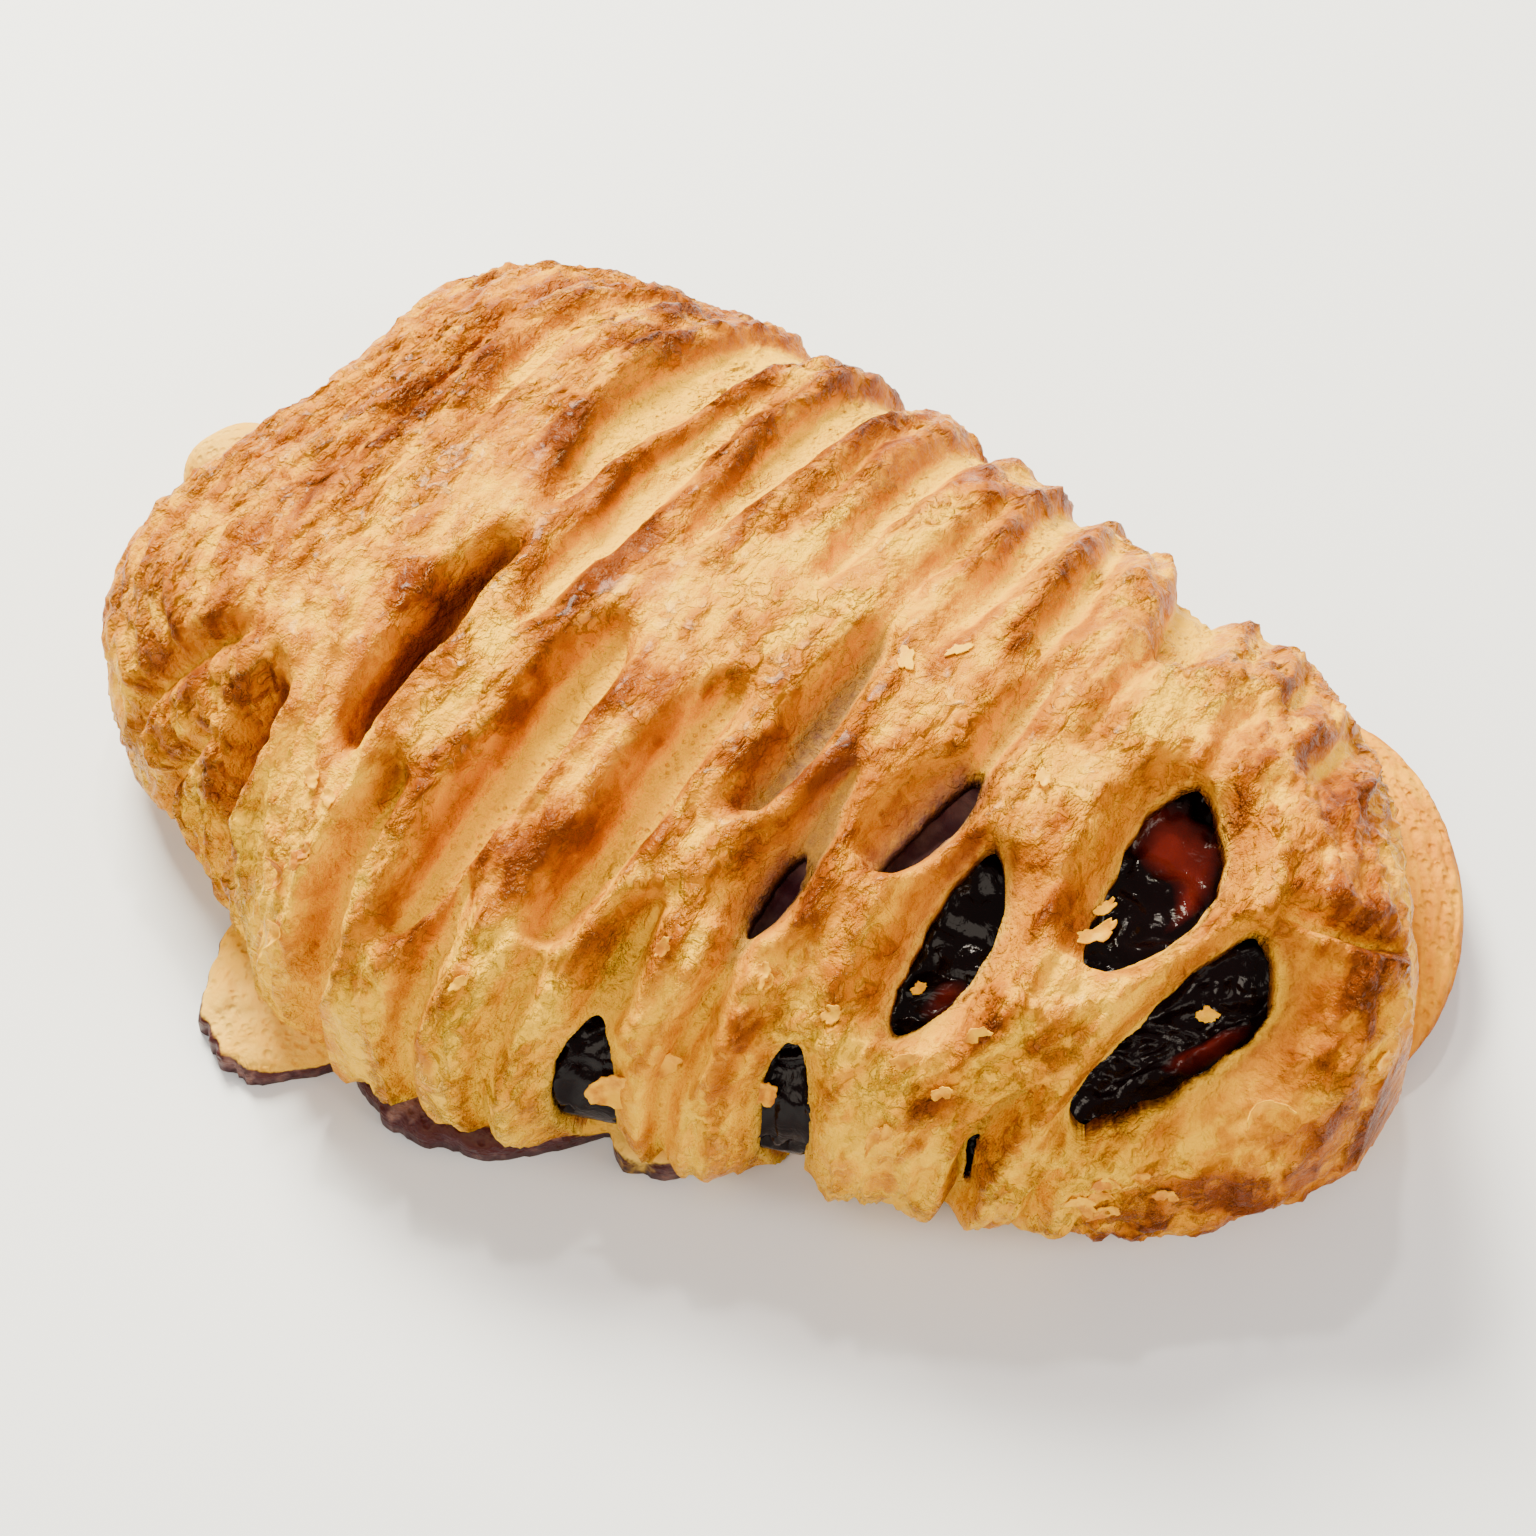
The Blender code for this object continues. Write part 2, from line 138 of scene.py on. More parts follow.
CREASES = (
    slit("deep_left", (-0.283, -0.050), (-0.322, -0.440), 1.1, 7.6, 3.5, 2.8, fat=0.25),
    slit("front_a", (-0.446, -0.410), (-0.600, -0.880), 1.7, 6.5, 5.2, 3.2, fat=-0.3),
    slit("front_b", (-0.243, -0.420), (-0.272, -0.960), 2.0, 5.5, 2.8, 3.2, fat=-0.3),
    slit("middle_a", (-0.127, -0.085), (-0.160, -0.640), 2.8, 6.0, 3.2, 2.6, bow=0.8, fat=0.30),
    slit("middle_b", (0.002, -0.085), (-0.014, -0.560), 1.9, 5.6, 2.9, 3.0, fat=0.25),
    slit("front_c", (-0.110, -0.500), (-0.122, -0.980), 1.0, 4.2, 2.5, 3.0),
    slit("front_d", (-0.012, -0.580), (-0.026, -0.960), 0.6, 3.2, 2.4, 3.0),
    slit("middle_c", (0.079, 0.090), (0.086, -0.270), 1.3, 5.5, 2.9, 3.0, bow=0.3, stain=0.75),
    slit("front_e", (0.058, -0.440), (0.078, -0.740), 1.7, 5.2, 2.5, 3.2, fat=-0.5, stain=0.1),
    slit("middle_d", (0.149, -0.130), (0.168, -0.520), 1.3, 4.8, 2.5, 2.6, stain=0.6),
    slit("middle_e", (0.240, 0.180), (0.241, -0.100), 1.0, 3.8, 2.7, 3.0, stain=0.15),
    slit("front_f", (0.166, -0.470), (0.192, -0.970), 0.9, 4.0, 2.1, 3.0),
    slit("front_g", (0.556, -0.540), (0.640, -0.970), 1.1, 4.4, 2.4, 3.6, bow=-1.2, stain=0.2),
    slit("front_i", (0.246, -0.560), (0.250, -0.860), 0.3, 1.0, 1.8, 2.6),
    slit("front_j", (0.700, -0.700), (0.760, -0.960), 0.3, 2.0, 2.8, 4.0),
    slit("eye_tail", (0.462, 0.340), (0.460, 0.060), 0.5, 1.5, 2.8, 3.6),
    slit("end_tail", (0.790, 0.070), (0.590, -0.040), 0.5, 3.0, 2.4, 3.4, bow=1.5),
    slit("end_left_a", (-0.500, -0.340), (-0.840, -0.610), 0.3, 2.8, 2.8, 3.0, bow=0.8),
    slit("end_left_b", (-0.580, -0.560), (-0.880, -0.790), 0.3, 2.5, 2.8, 3.0, bow=0.6),
    slit("end_left_c", (-0.530, 0.420), (-0.545, -0.100), 0.3, 1.2, 2.4, 3.0, bow=-0.5),
    slit("end_left_d", (-0.640, 0.300), (-0.660, -0.200), 0.3, 1.0, 2.4, 3.4),
    slit("back_a", (-0.456, 0.640), (-0.446, 0.060), 1.7, 2.0, 2.8, 3.4),
    slit("back_b", (-0.276, 0.980), (-0.284, 0.010), 3.8, 3.8, 2.9, 3.0, fat=0.2),
    slit("back_c", (-0.204, 0.400), (-0.212, -0.160), 1.6, 3.0, 3.1, 2.8, bow=-0.6, fat=-0.2),
    slit("back_d", (-0.130, 0.980), (-0.134, 0.060), 2.0, 3.6, 2.8, 3.2),
    slit("back_e", (-0.004, 0.980), (-0.004, 0.090), 1.3, 3.4, 2.8, 3.2),
    slit("back_m", (-0.066, 0.560), (-0.070, 0.120), 0.3, 1.5, 2.1, 2.6),
    slit("back_f", (0.138, 0.980), (0.140, 0.090), 1.3, 3.2, 2.8, 3.2),
    slit("back_g", (0.084, 0.500), (0.080, 0.060), 0.5, 2.2, 2.4, 3.0),
    slit("back_h", (0.216, 0.66), (0.222, 0.090), 0.9, 2.4, 2.7, 3.2),
    slit("back_i", (0.342, 1.200), (0.335, 0.300), 3.6, 6.4, 3.4, 4.8),
    slit("back_n", (0.322, 0.330), (0.318, 0.040), 0.5, 1.8, 2.4, 3.0),
    slit("back_j", (0.428, 0.66), (0.420, 0.440), 1.3, 2.2, 4.2, 6.0),
    slit("back_k", (0.530, 0.62), (0.500, 0.380), 1.0, 2.0, 4.2, 6.0),
    slit("back_l", (0.650, 0.60), (0.585, 0.240), 1.4, 2.2, 4.2, 6.0),
)

# Patches where the oven has browned the crust more (or less, below zero), and two that paint shade on
# the end opening's right inner wall: middle on the sheet, half length across and half width along, lean, and
# amount.
Patch = namedtuple("Patch", "along across half_across half_along lean amount")

BROWNING_AND_SHADE = (
    Patch(-0.335, 0.120, 0.24, 0.020, -0.16, 0.24),
    Patch(-0.352, -0.150, 0.18, 0.024, -0.12, 0.38),
    Patch(-0.380, 0.420, 0.20, 0.045, -0.05, 0.25),
    Patch(-0.520, 0.050, 0.30, 0.035, 0.05, 0.22),
    Patch(-0.490, -0.130, 0.08, 0.050, 0.00, 0.25),
    Patch(0.105, -0.210, 0.11, 0.016, 0.45, 0.60),
    Patch(-0.080, -0.440, 0.14, 0.025, 0.02, 0.38),
    Patch(-0.040, -0.430, 0.09, 0.020, 0.02, 0.18),
    Patch(-0.160, -0.330, 0.22, 0.014, 0.03, 0.30),
    Patch(-0.175, -0.060, 0.20, 0.012, 0.03, 0.30),
    Patch(-0.235, 0.300, 0.30, 0.012, 0.00, 0.22),
    Patch(-0.180, 0.120, 0.16, 0.014, 0.00, 0.22),
    Patch(-0.085, 0.440, 0.09, 0.028, 0.00, 0.40),
    Patch(-0.100, 0.230, 0.18, 0.018, 0.00, 0.26),
    Patch(-0.215, -0.390, 0.05, 0.025, 0.00, 0.30),
    Patch(-0.130, -0.600, 0.09, 0.016, 0.00, 0.30),
    Patch(-0.010, -0.790, 0.14, 0.050, 0.00, -0.34),
    Patch(0.000, -0.720, 0.09, 0.016, 0.00, 0.26),
    Patch(-0.175, -0.760, 0.08, 0.022, 0.00, 0.20),
    Patch(0.065, 0.420, 0.03, 0.045, 0.00, 0.26),
    Patch(0.115, 0.260, 0.06, 0.030, 0.00, 0.32),
    Patch(0.195, 0.320, 0.10, 0.012, 0.00, 0.26),
    Patch(0.230, -0.660, 0.12, 0.024, 0.00, 0.32),
    Patch(0.470, -0.650, 0.12, 0.030, -0.20, 0.42),
    Patch(0.400, -0.330, 0.20, 0.020, -0.20, 0.20),
    Patch(0.520, -0.470, 0.09, 0.022, -0.20, 0.24),
    Patch(0.600, -0.700, 0.10, 0.030, -0.20, 0.22),
    Patch(0.625, 0.300, 0.07, 0.055, 0.30, 0.46),
    Patch(0.650, 0.160, 0.09, 0.030, 0.20, 0.36),
    Patch(0.700, 0.110, 0.06, 0.045, 0.00, 0.30),
    Patch(0.740, 0.400, 0.22, 0.030, 0.30, 0.26),
    # Painted shade on the end opening's right inner wall.
    Patch(0.745, -0.050, 0.09, 0.060, 0.00, 0.34),
    Patch(0.480, 0.520, 0.10, 0.016, -0.10, 0.30),
    Patch(0.540, 0.440, 0.10, 0.016, -0.20, 0.30),
    # Painted shade on the end opening's right inner wall.
    Patch(0.735, -0.170, 0.20, 0.045, 0.00, 0.36),
    Patch(0.860, -0.300, 0.30, 0.022, 0.00, 0.34),
    Patch(0.880, -0.720, 0.20, 0.060, 0.00, 0.42),
    Patch(0.700, -0.860, 0.05, 0.160, 0.10, 0.20),
    Patch(0.640, -0.640, 0.16, 0.050, -0.40, -0.20),
    Patch(0.530, -0.360, 0.22, 0.030, -0.20, -0.16),
    Patch(0.320, -0.620, 0.06, 0.050, 0.00, -0.26),
    Patch(0.480, -0.330, 0.06, 0.050, 0.00, -0.24),
    Patch(0.790, -0.480, 0.24, 0.030, 0.00, -0.20),
    Patch(0.330, 0.340, 0.32, 0.100, 0.00, -0.22),
    Patch(0.040, 0.040, 0.12, 0.060, 0.00, -0.12),
    Patch(-0.060, -0.590, 0.06, 0.030, 0.00, -0.24),
    Patch(-0.220, -0.120, 0.12, 0.016, 0.00, -0.20),
    Patch(-0.500, 0.170, 0.10, 0.030, 0.00, 0.18),
    Patch(0.450, -0.500, 0.12, 0.025, -0.20, 0.16),
    Patch(0.670, -0.700, 0.10, 0.040, -0.20, 0.16),
    Patch(0.790, -0.190, 0.14, 0.030, 0.00, 0.16),
    Patch(-0.010, 0.195, 0.14, 0.040, 0.00, -0.44),
    Patch(0.100, 0.230, 0.14, 0.040, 0.00, -0.38),
    Patch(-0.245, -0.625, 0.16, 0.040, 0.00, -0.36),
    Patch(0.120, 0.100, 0.10, 0.060, 0.00, -0.16),
    Patch(0.220, 0.040, 0.10, 0.040, 0.00, -0.12),
    Patch(0.420, 0.250, 0.16, 0.060, 0.10, -0.12),
    Patch(0.270, -0.420, 0.12, 0.020, -0.10, -0.22),
    Patch(0.395, -0.100, 0.14, 0.018, -0.10, -0.16),
    Patch(0.540, -0.240, 0.16, 0.034, -0.35, -0.34),
    Patch(0.420, -0.760, 0.10, 0.040, 0.00, -0.22),
    Patch(0.700, -0.800, 0.08, 0.080, 0.00, -0.14),
)

# Places where fruit shows red in the jam.
RED_FRUIT = (
    Patch(0.452, 0.050, 0.09, 0.070, 0.00, 0.95),
    Patch(0.720, -0.330, 0.14, 0.040, -0.10, 0.90),
    Patch(0.660, -0.560, 0.06, 0.040, 0.00, 0.55),
    Patch(0.372, -0.440, 0.10, 0.026, -0.17, 0.85),
    Patch(0.495, -0.060, 0.09, 0.015, 0.00, 0.45),
)

# Directions in degrees, half spread, reach past the crust and extra height of
# the places where the base sheet stands out.
Lobe = namedtuple("Lobe", "name direction spread reach rise")

LOBES = (
    Lobe("tongue", -128.0, 13.0, 8.4 * MM, -0.5 * MM),
    Lobe("hem", -101.0, 19.0, -0.3 * MM, -1.2 * MM),
    Lobe("scrap", -74.0, 8.0, -3.4 * MM, -1.2 * MM),
    Lobe("flap", 29.0, 28.0, 9.3 * MM, 6.0 * MM),
    Lobe("curl", 180.5, 8.5, 12.4 * MM, 17.0 * MM),
)


def superunit(t, power):
    """Height of the unit superellipse above the place t."""
    return np.maximum(1.0 - np.abs(t) ** power, 0.0) ** (1.0 / power)


def on_plan(a, b):
    """Square sheet place to a place in the unit superellipse."""
    al = np.sin(a * pi / 2 * 0.8) / np.sin(pi / 2 * 0.8)
    be = np.sin(b * pi / 2 * 0.9) / np.sin(pi / 2 * 0.9)
    c = 2.0 ** (-1.0 / PLAN_POWER)
    return al * superunit(c * be, PLAN_POWER), be * superunit(c * al, PLAN_POWER)


def to_floor_plan(x, y, inset):
    """Unit plan place to metres, drawn in by the inset and bent to the loaf."""
    turn = np.arctan2(y, x)
    wave = sum(size * np.cos(k * turn) for k, size in WAVES_COS.items())
    wave = wave + sum(size * np.sin(k * turn) for k, size in WAVES_SIN.items())
    wave = 1.0 + wave * np.minimum(x * x + y * y, 1.4)
    px = x * (LENGTH / 2 - inset) * wave
    py = y * (WIDTH / 2 - inset) * wave
    return px, py * (1.0 - TAPER * x) + BOW * x * x + SKEW * x


def outward(x, y):
    """Unit outward direction of the plan outline."""
    nx = np.sign(x) * np.abs(x) ** (PLAN_POWER - 1) / (LENGTH / 2)
    ny = np.sign(y) * np.abs(y) ** (PLAN_POWER - 1) / (WIDTH / 2)
    size = np.maximum(np.hypot(nx, ny), 1e-9)
    return nx / size, ny / size


def loaf(a, b, inset=0.0, floor=0.0, curl_in=CRUST_CURL):
    """Points of the loaf's skin at the sheet places, as rows of x, y, z."""
    a, b = np.broadcast_arrays(np.asarray(a, float), np.asarray(b, float))
    r = np.maximum(np.abs(a), np.abs(b))
    k = np.maximum(r, SHEET_EDGE)
    x, y = on_plan(a / k, b / k)
    half_chord = np.maximum(superunit(np.clip(x, -1, 1), PLAN_POWER), 1e-6)
    arch = superunit(x, LONG_POWER) * superunit(np.clip(y / half_chord, -1, 1), CROSS_POWER)
    z = EQUATOR + (HEIGHT - inset - EQUATOR) * arch
    px, py = to_floor_plan(x, y, inset)
    curl = np.maximum((r - SHEET_EDGE) / (1.0 - SHEET_EDGE), 0.0) * TUCK
    z = np.where(curl > 0, EQUATOR - (EQUATOR - floor) * np.sin(curl) / np.sin(TUCK), z)
    nx, ny = outward(x, y)
    drawn = curl_in * (1.0 - np.cos(curl)) / (1.0 - np.cos(TUCK))
    return np.stack([px - drawn * nx + CENTRE[0], py - drawn * ny + CENTRE[1], z], axis=-1)


def skin_normal(a, b):
    """Outward unit normal of the loaf's skin."""
    step = 0.004
    normal = np.cross(loaf(a + step, b) - loaf(a - step, b), loaf(a, b + step) - loaf(a, b - step))
    return normal / np.maximum(np.linalg.norm(normal, axis=-1, keepdims=True), 1e-12)


def under_skin(a, b, depth, rim, floor, curl_in):
    """Points straight under the loaf's skin, blended to an inset loaf at its rim."""
    a, b = np.asarray(a, float), np.asarray(b, float)
    blend = ease(0.66, 0.84, np.maximum(np.abs(a), np.abs(b)))[:, None]
    inner = loaf(a, b) - skin_normal(a, b) * depth[:, None]
    return inner * (1.0 - blend) + loaf(a, b, rim, floor, curl_in) * blend


def grain(x, y, size, seed, octaves=3, stretch=1.0):
    """Fractal noise, about -1 to 1, whose bumps are about size across."""
    places = zip((x / size).tolist(), (y / (size * stretch)).tolist())
    return np.array([noise.fractal((u, v, seed), 0.8, 2.1, octaves) for u, v in places])


def ease(low, high, value):
    """Smooth step from 0 at low to 1 at high."""
    t = np.clip((value - low) / (high - low), 0.0, 1.0)
    return t * t * (3.0 - 2.0 * t)


def lens(cut, t):
    """Half width of a slit's floor at the share t of its run from back to front."""
    rise = np.maximum(4.0 * t * (1.0 - t), 0.0)
    return cut.half_open * rise ** LENS_POWER * (1.0 + cut.fat * (1.0 - 2.0 * t))


def beside(cut, a, b):
    """Distance past the slit's floor, share of its run and side, at sheet places."""
    back = np.array(cut.back) * SPAN
    run = np.array(cut.front) * SPAN - back
    length = np.hypot(*run)
    run = run / length
    x, y = a * SPAN[0] - back[0], b * SPAN[1] - back[1]
    along = x * run[0] + y * run[1]
    t = np.clip(along / length, 0.0, 1.0)
    across = y * run[0] - x * run[1] - cut.bow * 4.0 * t * (1.0 - t)
    away = np.hypot(across, along - t * length)
    return away - lens(cut, t), t, across


class Relief:
    """What the slits do to the skin: carved depth, painted shade on the walls and in the deep pits, floors
    and stain.
    """

    def __init__(self, a, b):
        x, y = a * SPAN[0], b * SPAN[1]
        sway = CREASE_SWAY * grain(x, y, 9 * MM, 3.3, 3, 1.6)
        rims = 1.0 - 0.55 * ease(0.25, 0.60, b) - 0.40 * ease(-0.80, -0.98, b)
        total = np.zeros(a.shape)
        self.near, self.floor, self.wall = (np.zeros(a.shape) for _ in range(3))
        self.stain, self.lip, self.pit_shade = (np.zeros(a.shape) for _ in range(3))
        for cut in OPENINGS + CREASES:
            crease = cut in CREASES
            gap, t, across = beside(cut, a + sway * crease, b)
            shoulder = np.where(across > 0, cut.right, cut.left)
            near = 1.0 - np.clip(gap / shoulder, 0.0, 1.0)
            side = 0.5 - 0.5 * np.sqrt(np.maximum(1.0 - near ** 2, 0.0)) + 0.5 * ease(0.0, 1.0, near)
            ends = 0.25 + 0.75 * np.maximum(4.0 * t * (1.0 - t), 0.0) ** 0.35
            total += (cut.depth * ends * side * rims) ** 4
            strength = ends * min(cut.depth / (3.0 * MM), 1.0)
            self.near = np.maximum(self.near, near * strength)
            lip = np.exp(-((gap - shoulder - 0.4 * MM) / (1.9 * MM)) ** 2) * strength
            self.lip = np.maximum(self.lip, lip)
            floor = ease(0.6 * MM, -0.3 * MM, gap) * strength * min(cut.half_open / MM, 1.0)
            # Painted shade: the deep creases' pits are darkened, and their floors kept less pale, where the
            # crevice lies in shadow.
            if crease and cut.depth > DEEP_CREASE:
                self.pit_shade = np.maximum(self.pit_shade, ease(1.8 * MM, 0.2 * MM, gap) * ends)
                self.floor = np.maximum(self.floor, 0.35 * floor)
            else:
                self.floor = np.maximum(self.floor, floor)
            # Painted shade on the groove walls, stronger on the left walls, which face away from the key
            # lamp.
            wall = ease(0.25, 0.75, near) * ease(1.0, 0.90, near) * (0.45 + 0.55 * (across < 0))
            self.wall = np.maximum(self.wall, wall * strength * min(cut.depth / (4.5 * MM), 1.0))
            self.stain = np.maximum(self.stain, cut.stain * near ** 6 * ends)
        self.depth = total ** 0.25


def bell(patch, a, b):
    """Soft oval mask of one patch."""
    y = (b - patch.across) / patch.half_across
    x = (a - patch.along - patch.lean * (b - patch.across)) / patch.half_along
    return np.exp(-(x * x + y * y))


def patched(patches, a, b):
    """Sum of the patches' amounts at sheet places."""
    return sum(patch.amount * bell(patch, a, b) for patch in patches)


# ------------------------------------------------------------- shader helpers
class Wire:
    """A shader socket on which arithmetic adds Math nodes."""

    def __init__(self, kit, socket):
        self.kit = kit
        self.socket = socket

    def math(self, operation, *others, clamp=False):
        settings = {"operation": operation, "use_clamp": clamp}
        sockets = dict(enumerate((self, *others)))
        return self.kit.node("ShaderNodeMath", settings, sockets)

    def __add__(self, other):
        return self.math("ADD", other)

    def __sub__(self, other):
        return self.math("SUBTRACT", other)

    def __rsub__(self, other):
        return self.kit.node("ShaderNodeMath", {"operation": "SUBTRACT"}, {0: other, 1: self})

    def __mul__(self, other):
        return self.math("MULTIPLY", other)

    def clip(self):
        return self.math("ADD", 0.0, clamp=True)

    def ease(self, low, high):
        sockets = {"Value": self, "From Min": low, "From Max": high}
        return self.kit.node("ShaderNodeMapRange", {"interpolation_type": "SMOOTHSTEP"}, sockets)

    __radd__ = __add__
    __rmul__ = __mul__


class Kit:
    """A Principled material under construction."""

    def __init__(self, name):
        self.material = bpy.data.materials.new(name)
        self.material.use_nodes = True
        self.tree = self.material.node_tree
        self.shader = self.tree.nodes["Principled BSDF"]
        self.place = self.node("ShaderNodeTexCoord", {}, {}, "Object")

    def node(self, kind, settings, sockets, output=0):
        """Adds a node: its settings first, then the values or links of its sockets."""
        made = self.tree.nodes.new(kind)
        for key, value in settings.items():
            if key == "stops":
                ramp = made.color_ramp
                while len(ramp.elements) < len(value):
                    ramp.elements.new(1.0)
                for element, (position, colour) in zip(ramp.elements, value):
                    element.position = position
                    element.color = (*colour, 1.0)
            else:
                setattr(made, key, value)
        for key, value in sockets.items():
            self.feed(made.inputs[key], value)
        return Wire(self, made.outputs[output])

    def feed(self, socket, value):
        """Links a wire to the socket, or sets the socket's value."""
        if isinstance(value, Wire):
            self.tree.links.new(value.socket, socket)
        elif socket.type == "RGBA":
            socket.default_value = (*value, 1.0)
        else:
            socket.default_value = value

    def attribute(self, name):
        return self.node("ShaderNodeAttribute", {"attribute_name": name}, {}, "Fac")

    def noise(self, size, detail=3.0, roughness=0.55, stretch=(1, 1, 1), distortion=0.0):
        """Noise whose bumps are about size metres across."""
        scale = {"Vector": self.place, "Scale": stretch}
        vector = self.node("ShaderNodeMapping", {"vector_type": "POINT"}, scale)
        sockets = {"Vector": vector, "Scale": 0.5 / size, "Detail": detail}
        sockets.update({"Roughness": roughness, "Distortion": distortion})
        return self.node("ShaderNodeTexNoise", {}, sockets, "Fac")

    def cells(self, size):
        """Distance to the middles of cells about size metres across."""
        sockets = {"Vector": self.place, "Scale": 1.0 / size, "Randomness": 1.0}
        return self.node("ShaderNodeTexVoronoi", {"feature": "F1"}, sockets, "Distance")

    def ramp(self, factor, stops):
        return self.node("ShaderNodeValToRGB", {"stops": stops}, {"Fac": factor}, "Color")

    def mix(self, factor, first, second, blend="MIX"):
        settings = {"data_type": "RGBA", "blend_type": blend}
        return self.node("ShaderNodeMix", settings, {0: factor, 6: first, 7: second}, 2)

    def bump(self, height, distance, strength=1.0):
        sockets = {"Height": height, "Distance": distance, "Strength": strength}
        return self.node("ShaderNodeBump", {}, sockets, "Normal")

    def finish(self, **sockets):
        """Feeds the shader's sockets, named with _ for a space."""
        for key, value in sockets.items():
            self.feed(self.shader.inputs[key.replace("_", " ")], value)
        return self.material


# --------------------------------------------------------------- mesh helpers
def add_grid(name, columns, rows):
    """A new grid object with sheet places from -1 to 1, and those places."""
    bpy.ops.object.select_all(action="DESELECT")
    bpy.ops.mesh.primitive_grid_add(x_subdivisions=columns, y_subdivisions=rows, size=2)
    item = bpy.context.object
    item.name = name
    sheet = read_points(item)
    return item, sheet[:, 0], sheet[:, 1]


def read_points(item):
    """Vertex places of a mesh object as rows."""
    points = np.empty(len(item.data.vertices) * 3)
    item.data.vertices.foreach_get("co", points)
    return points.reshape(-1, 3)


def write_points(item, points):
    """Moves the vertices of a mesh object."""
    item.data.vertices.foreach_set("co", points.ravel())
    item.data.update()


def write_share(item, name, values):
    """Stores one number for each vertex as an attribute."""
    layer = item.data.attributes.new(name, "FLOAT", "POINT")
    layer.data.foreach_set("value", np.asarray(values, float))


def close_up(item, rim=True):
    """Closes the open rim of a shaped grid and turns its faces outward."""
    bpy.context.view_layer.objects.active = item
    bpy.ops.object.mode_set(mode="EDIT")
    bpy.ops.mesh.select_mode(type="EDGE")
    if rim:
        bpy.ops.mesh.select_all(action="DESELECT")
        bpy.ops.mesh.select_non_manifold(extend=False)
        bpy.ops.mesh.fill()
    bpy.ops.mesh.select_all(action="SELECT")
    bpy.ops.mesh.quads_convert_to_tris()
    bpy.ops.mesh.normals_make_consistent(inside=False)
    bpy.ops.object.mode_set(mode="OBJECT")


def cut_away(item, cutter):
    """Boolean difference, applied, and the cutter removed."""
    bpy.context.view_layer.objects.active = item
    cut = item.modifiers.new("cut", "BOOLEAN")
    cut.operation = "DIFFERENCE"
    cut.solver = "MANIFOLD"
    cut.object = cutter
    bpy.ops.object.modifier_apply(modifier=cut.name)
    bpy.data.objects.remove(cutter, do_unlink=True)


def settle(item, node, material):
    """Smooths a finished piece, gives it its material and ties it to the frame."""
    item.data.shade_smooth()
    item.data.materials.clear()
    item.data.materials.append(material)
    if node:
        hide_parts(node)
    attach(item, "root")


# ------------------------------------------------------------------ the crust
def crust_fields(a, b):
    """Height of the skin over the loaf and the shares that colour it."""
    x, y = a * SPAN[0], b * SPAN[1]
    cut = Relief(a, b)
    crown = 1.0 - cut.near
    r = np.maximum(np.abs(a), np.abs(b))
    low = np.clip((0.985 - r) / 0.04, 0.0, 1.0)
    calm = ease(0.985, 0.90, r)
    end = ease(-0.42, -0.56, a)
    front = ease(-0.35, -0.75, b)
    turn = radians(32) * ease(0.0, -0.3, b) + radians(100) * ease(-0.1, 0.2, b)
    along, across = x * np.cos(turn) + y * np.sin(turn), y * np.cos(turn) - x * np.sin(turn)
    swell = grain(x, y, 20 * MM, 1.7, 2, 1.5)
    blister = grain(x, y, 3.0 * MM, 5.1, 3, 1.3)
    streak = grain(x + 0.08 * y, y, 2.2 * MM, 9.7, 3, 5.0)
    fold = np.abs(grain(across, along, 4.2 * MM, 8.6, 3, 4.0))
    layer = grain(x, y, 4.6 * MM, 12.4, 4, 2.4)
    skin = grain(x + 0.05 * y, y, 5.5 * MM, 20.1, 5, 2.2) + 0.35 * cut.lip - 0.55 * cut.near + 0.10
    varnish = ease(-0.02, 0.05, skin)
    steps = (-0.34, -0.16, 0.0, 0.14, 0.28, 0.42)
    terrace = sum(ease(step - 0.012, step + 0.012, layer) for step in steps)
    rolled = cut.lip * (0.75 + 0.6 * swell) * ease(0.96, 0.72, r)
    height = -0.75 * MM + 0.6 * MM * swell * low - cut.depth * low + 0.55 * MM * rolled * low
    height += 0.46 * MM * blister * (0.20 + 0.80 * crown) * calm
    height += 0.28 * MM * streak * calm * (1.0 - 0.6 * end)
    height -= 0.60 * MM * np.exp(-(fold / 0.08) ** 2) * (0.15 + 0.85 * end) * (0.3 + 0.7 * crown) * calm
    height += (0.17 + 0.05 * front) * MM * terrace * (0.25 + 0.75 * crown) * calm
    height += 0.26 * MM * varnish * low
    brown = 0.345 + 0.12 * end + 0.12 * (varnish - 0.5)
    brown = brown + 0.34 * ease(0.20, 0.60, skin) * (0.35 + 0.65 * rolled)
    # Painted shade in the fold creases of the left end.
    fold_shade = 0.12 * end * np.exp(-(fold / 0.10) ** 2)
    brown += 0.07 * blister * crown + (0.10 + 0.12 * (1.0 - end)) * streak + fold_shade
    patches = patched(BROWNING_AND_SHADE, a, b)
    brown += 0.10 * rolled + patches * (1.0 - cut.floor) * (0.62 + 0.70 * ease(-0.1, 0.5, skin))
    # Painted shade: darker on the groove walls, in the deep pits and on the strands' flanks; the groove
    # floors are paler dough.
    brown += 0.26 * cut.wall + 0.80 * cut.pit_shade - 0.34 * cut.floor + 0.28 * np.sin(pi * cut.near) * crown
    # Painted light: towards the front the crust is made paler, where the key lamp leaves it in shade.
    brown += 0.30 * ease(0.80, 0.93, a) * ease(0.05, -0.20, b) - 0.24 * front
    return height, brown, cut, crown, varnish


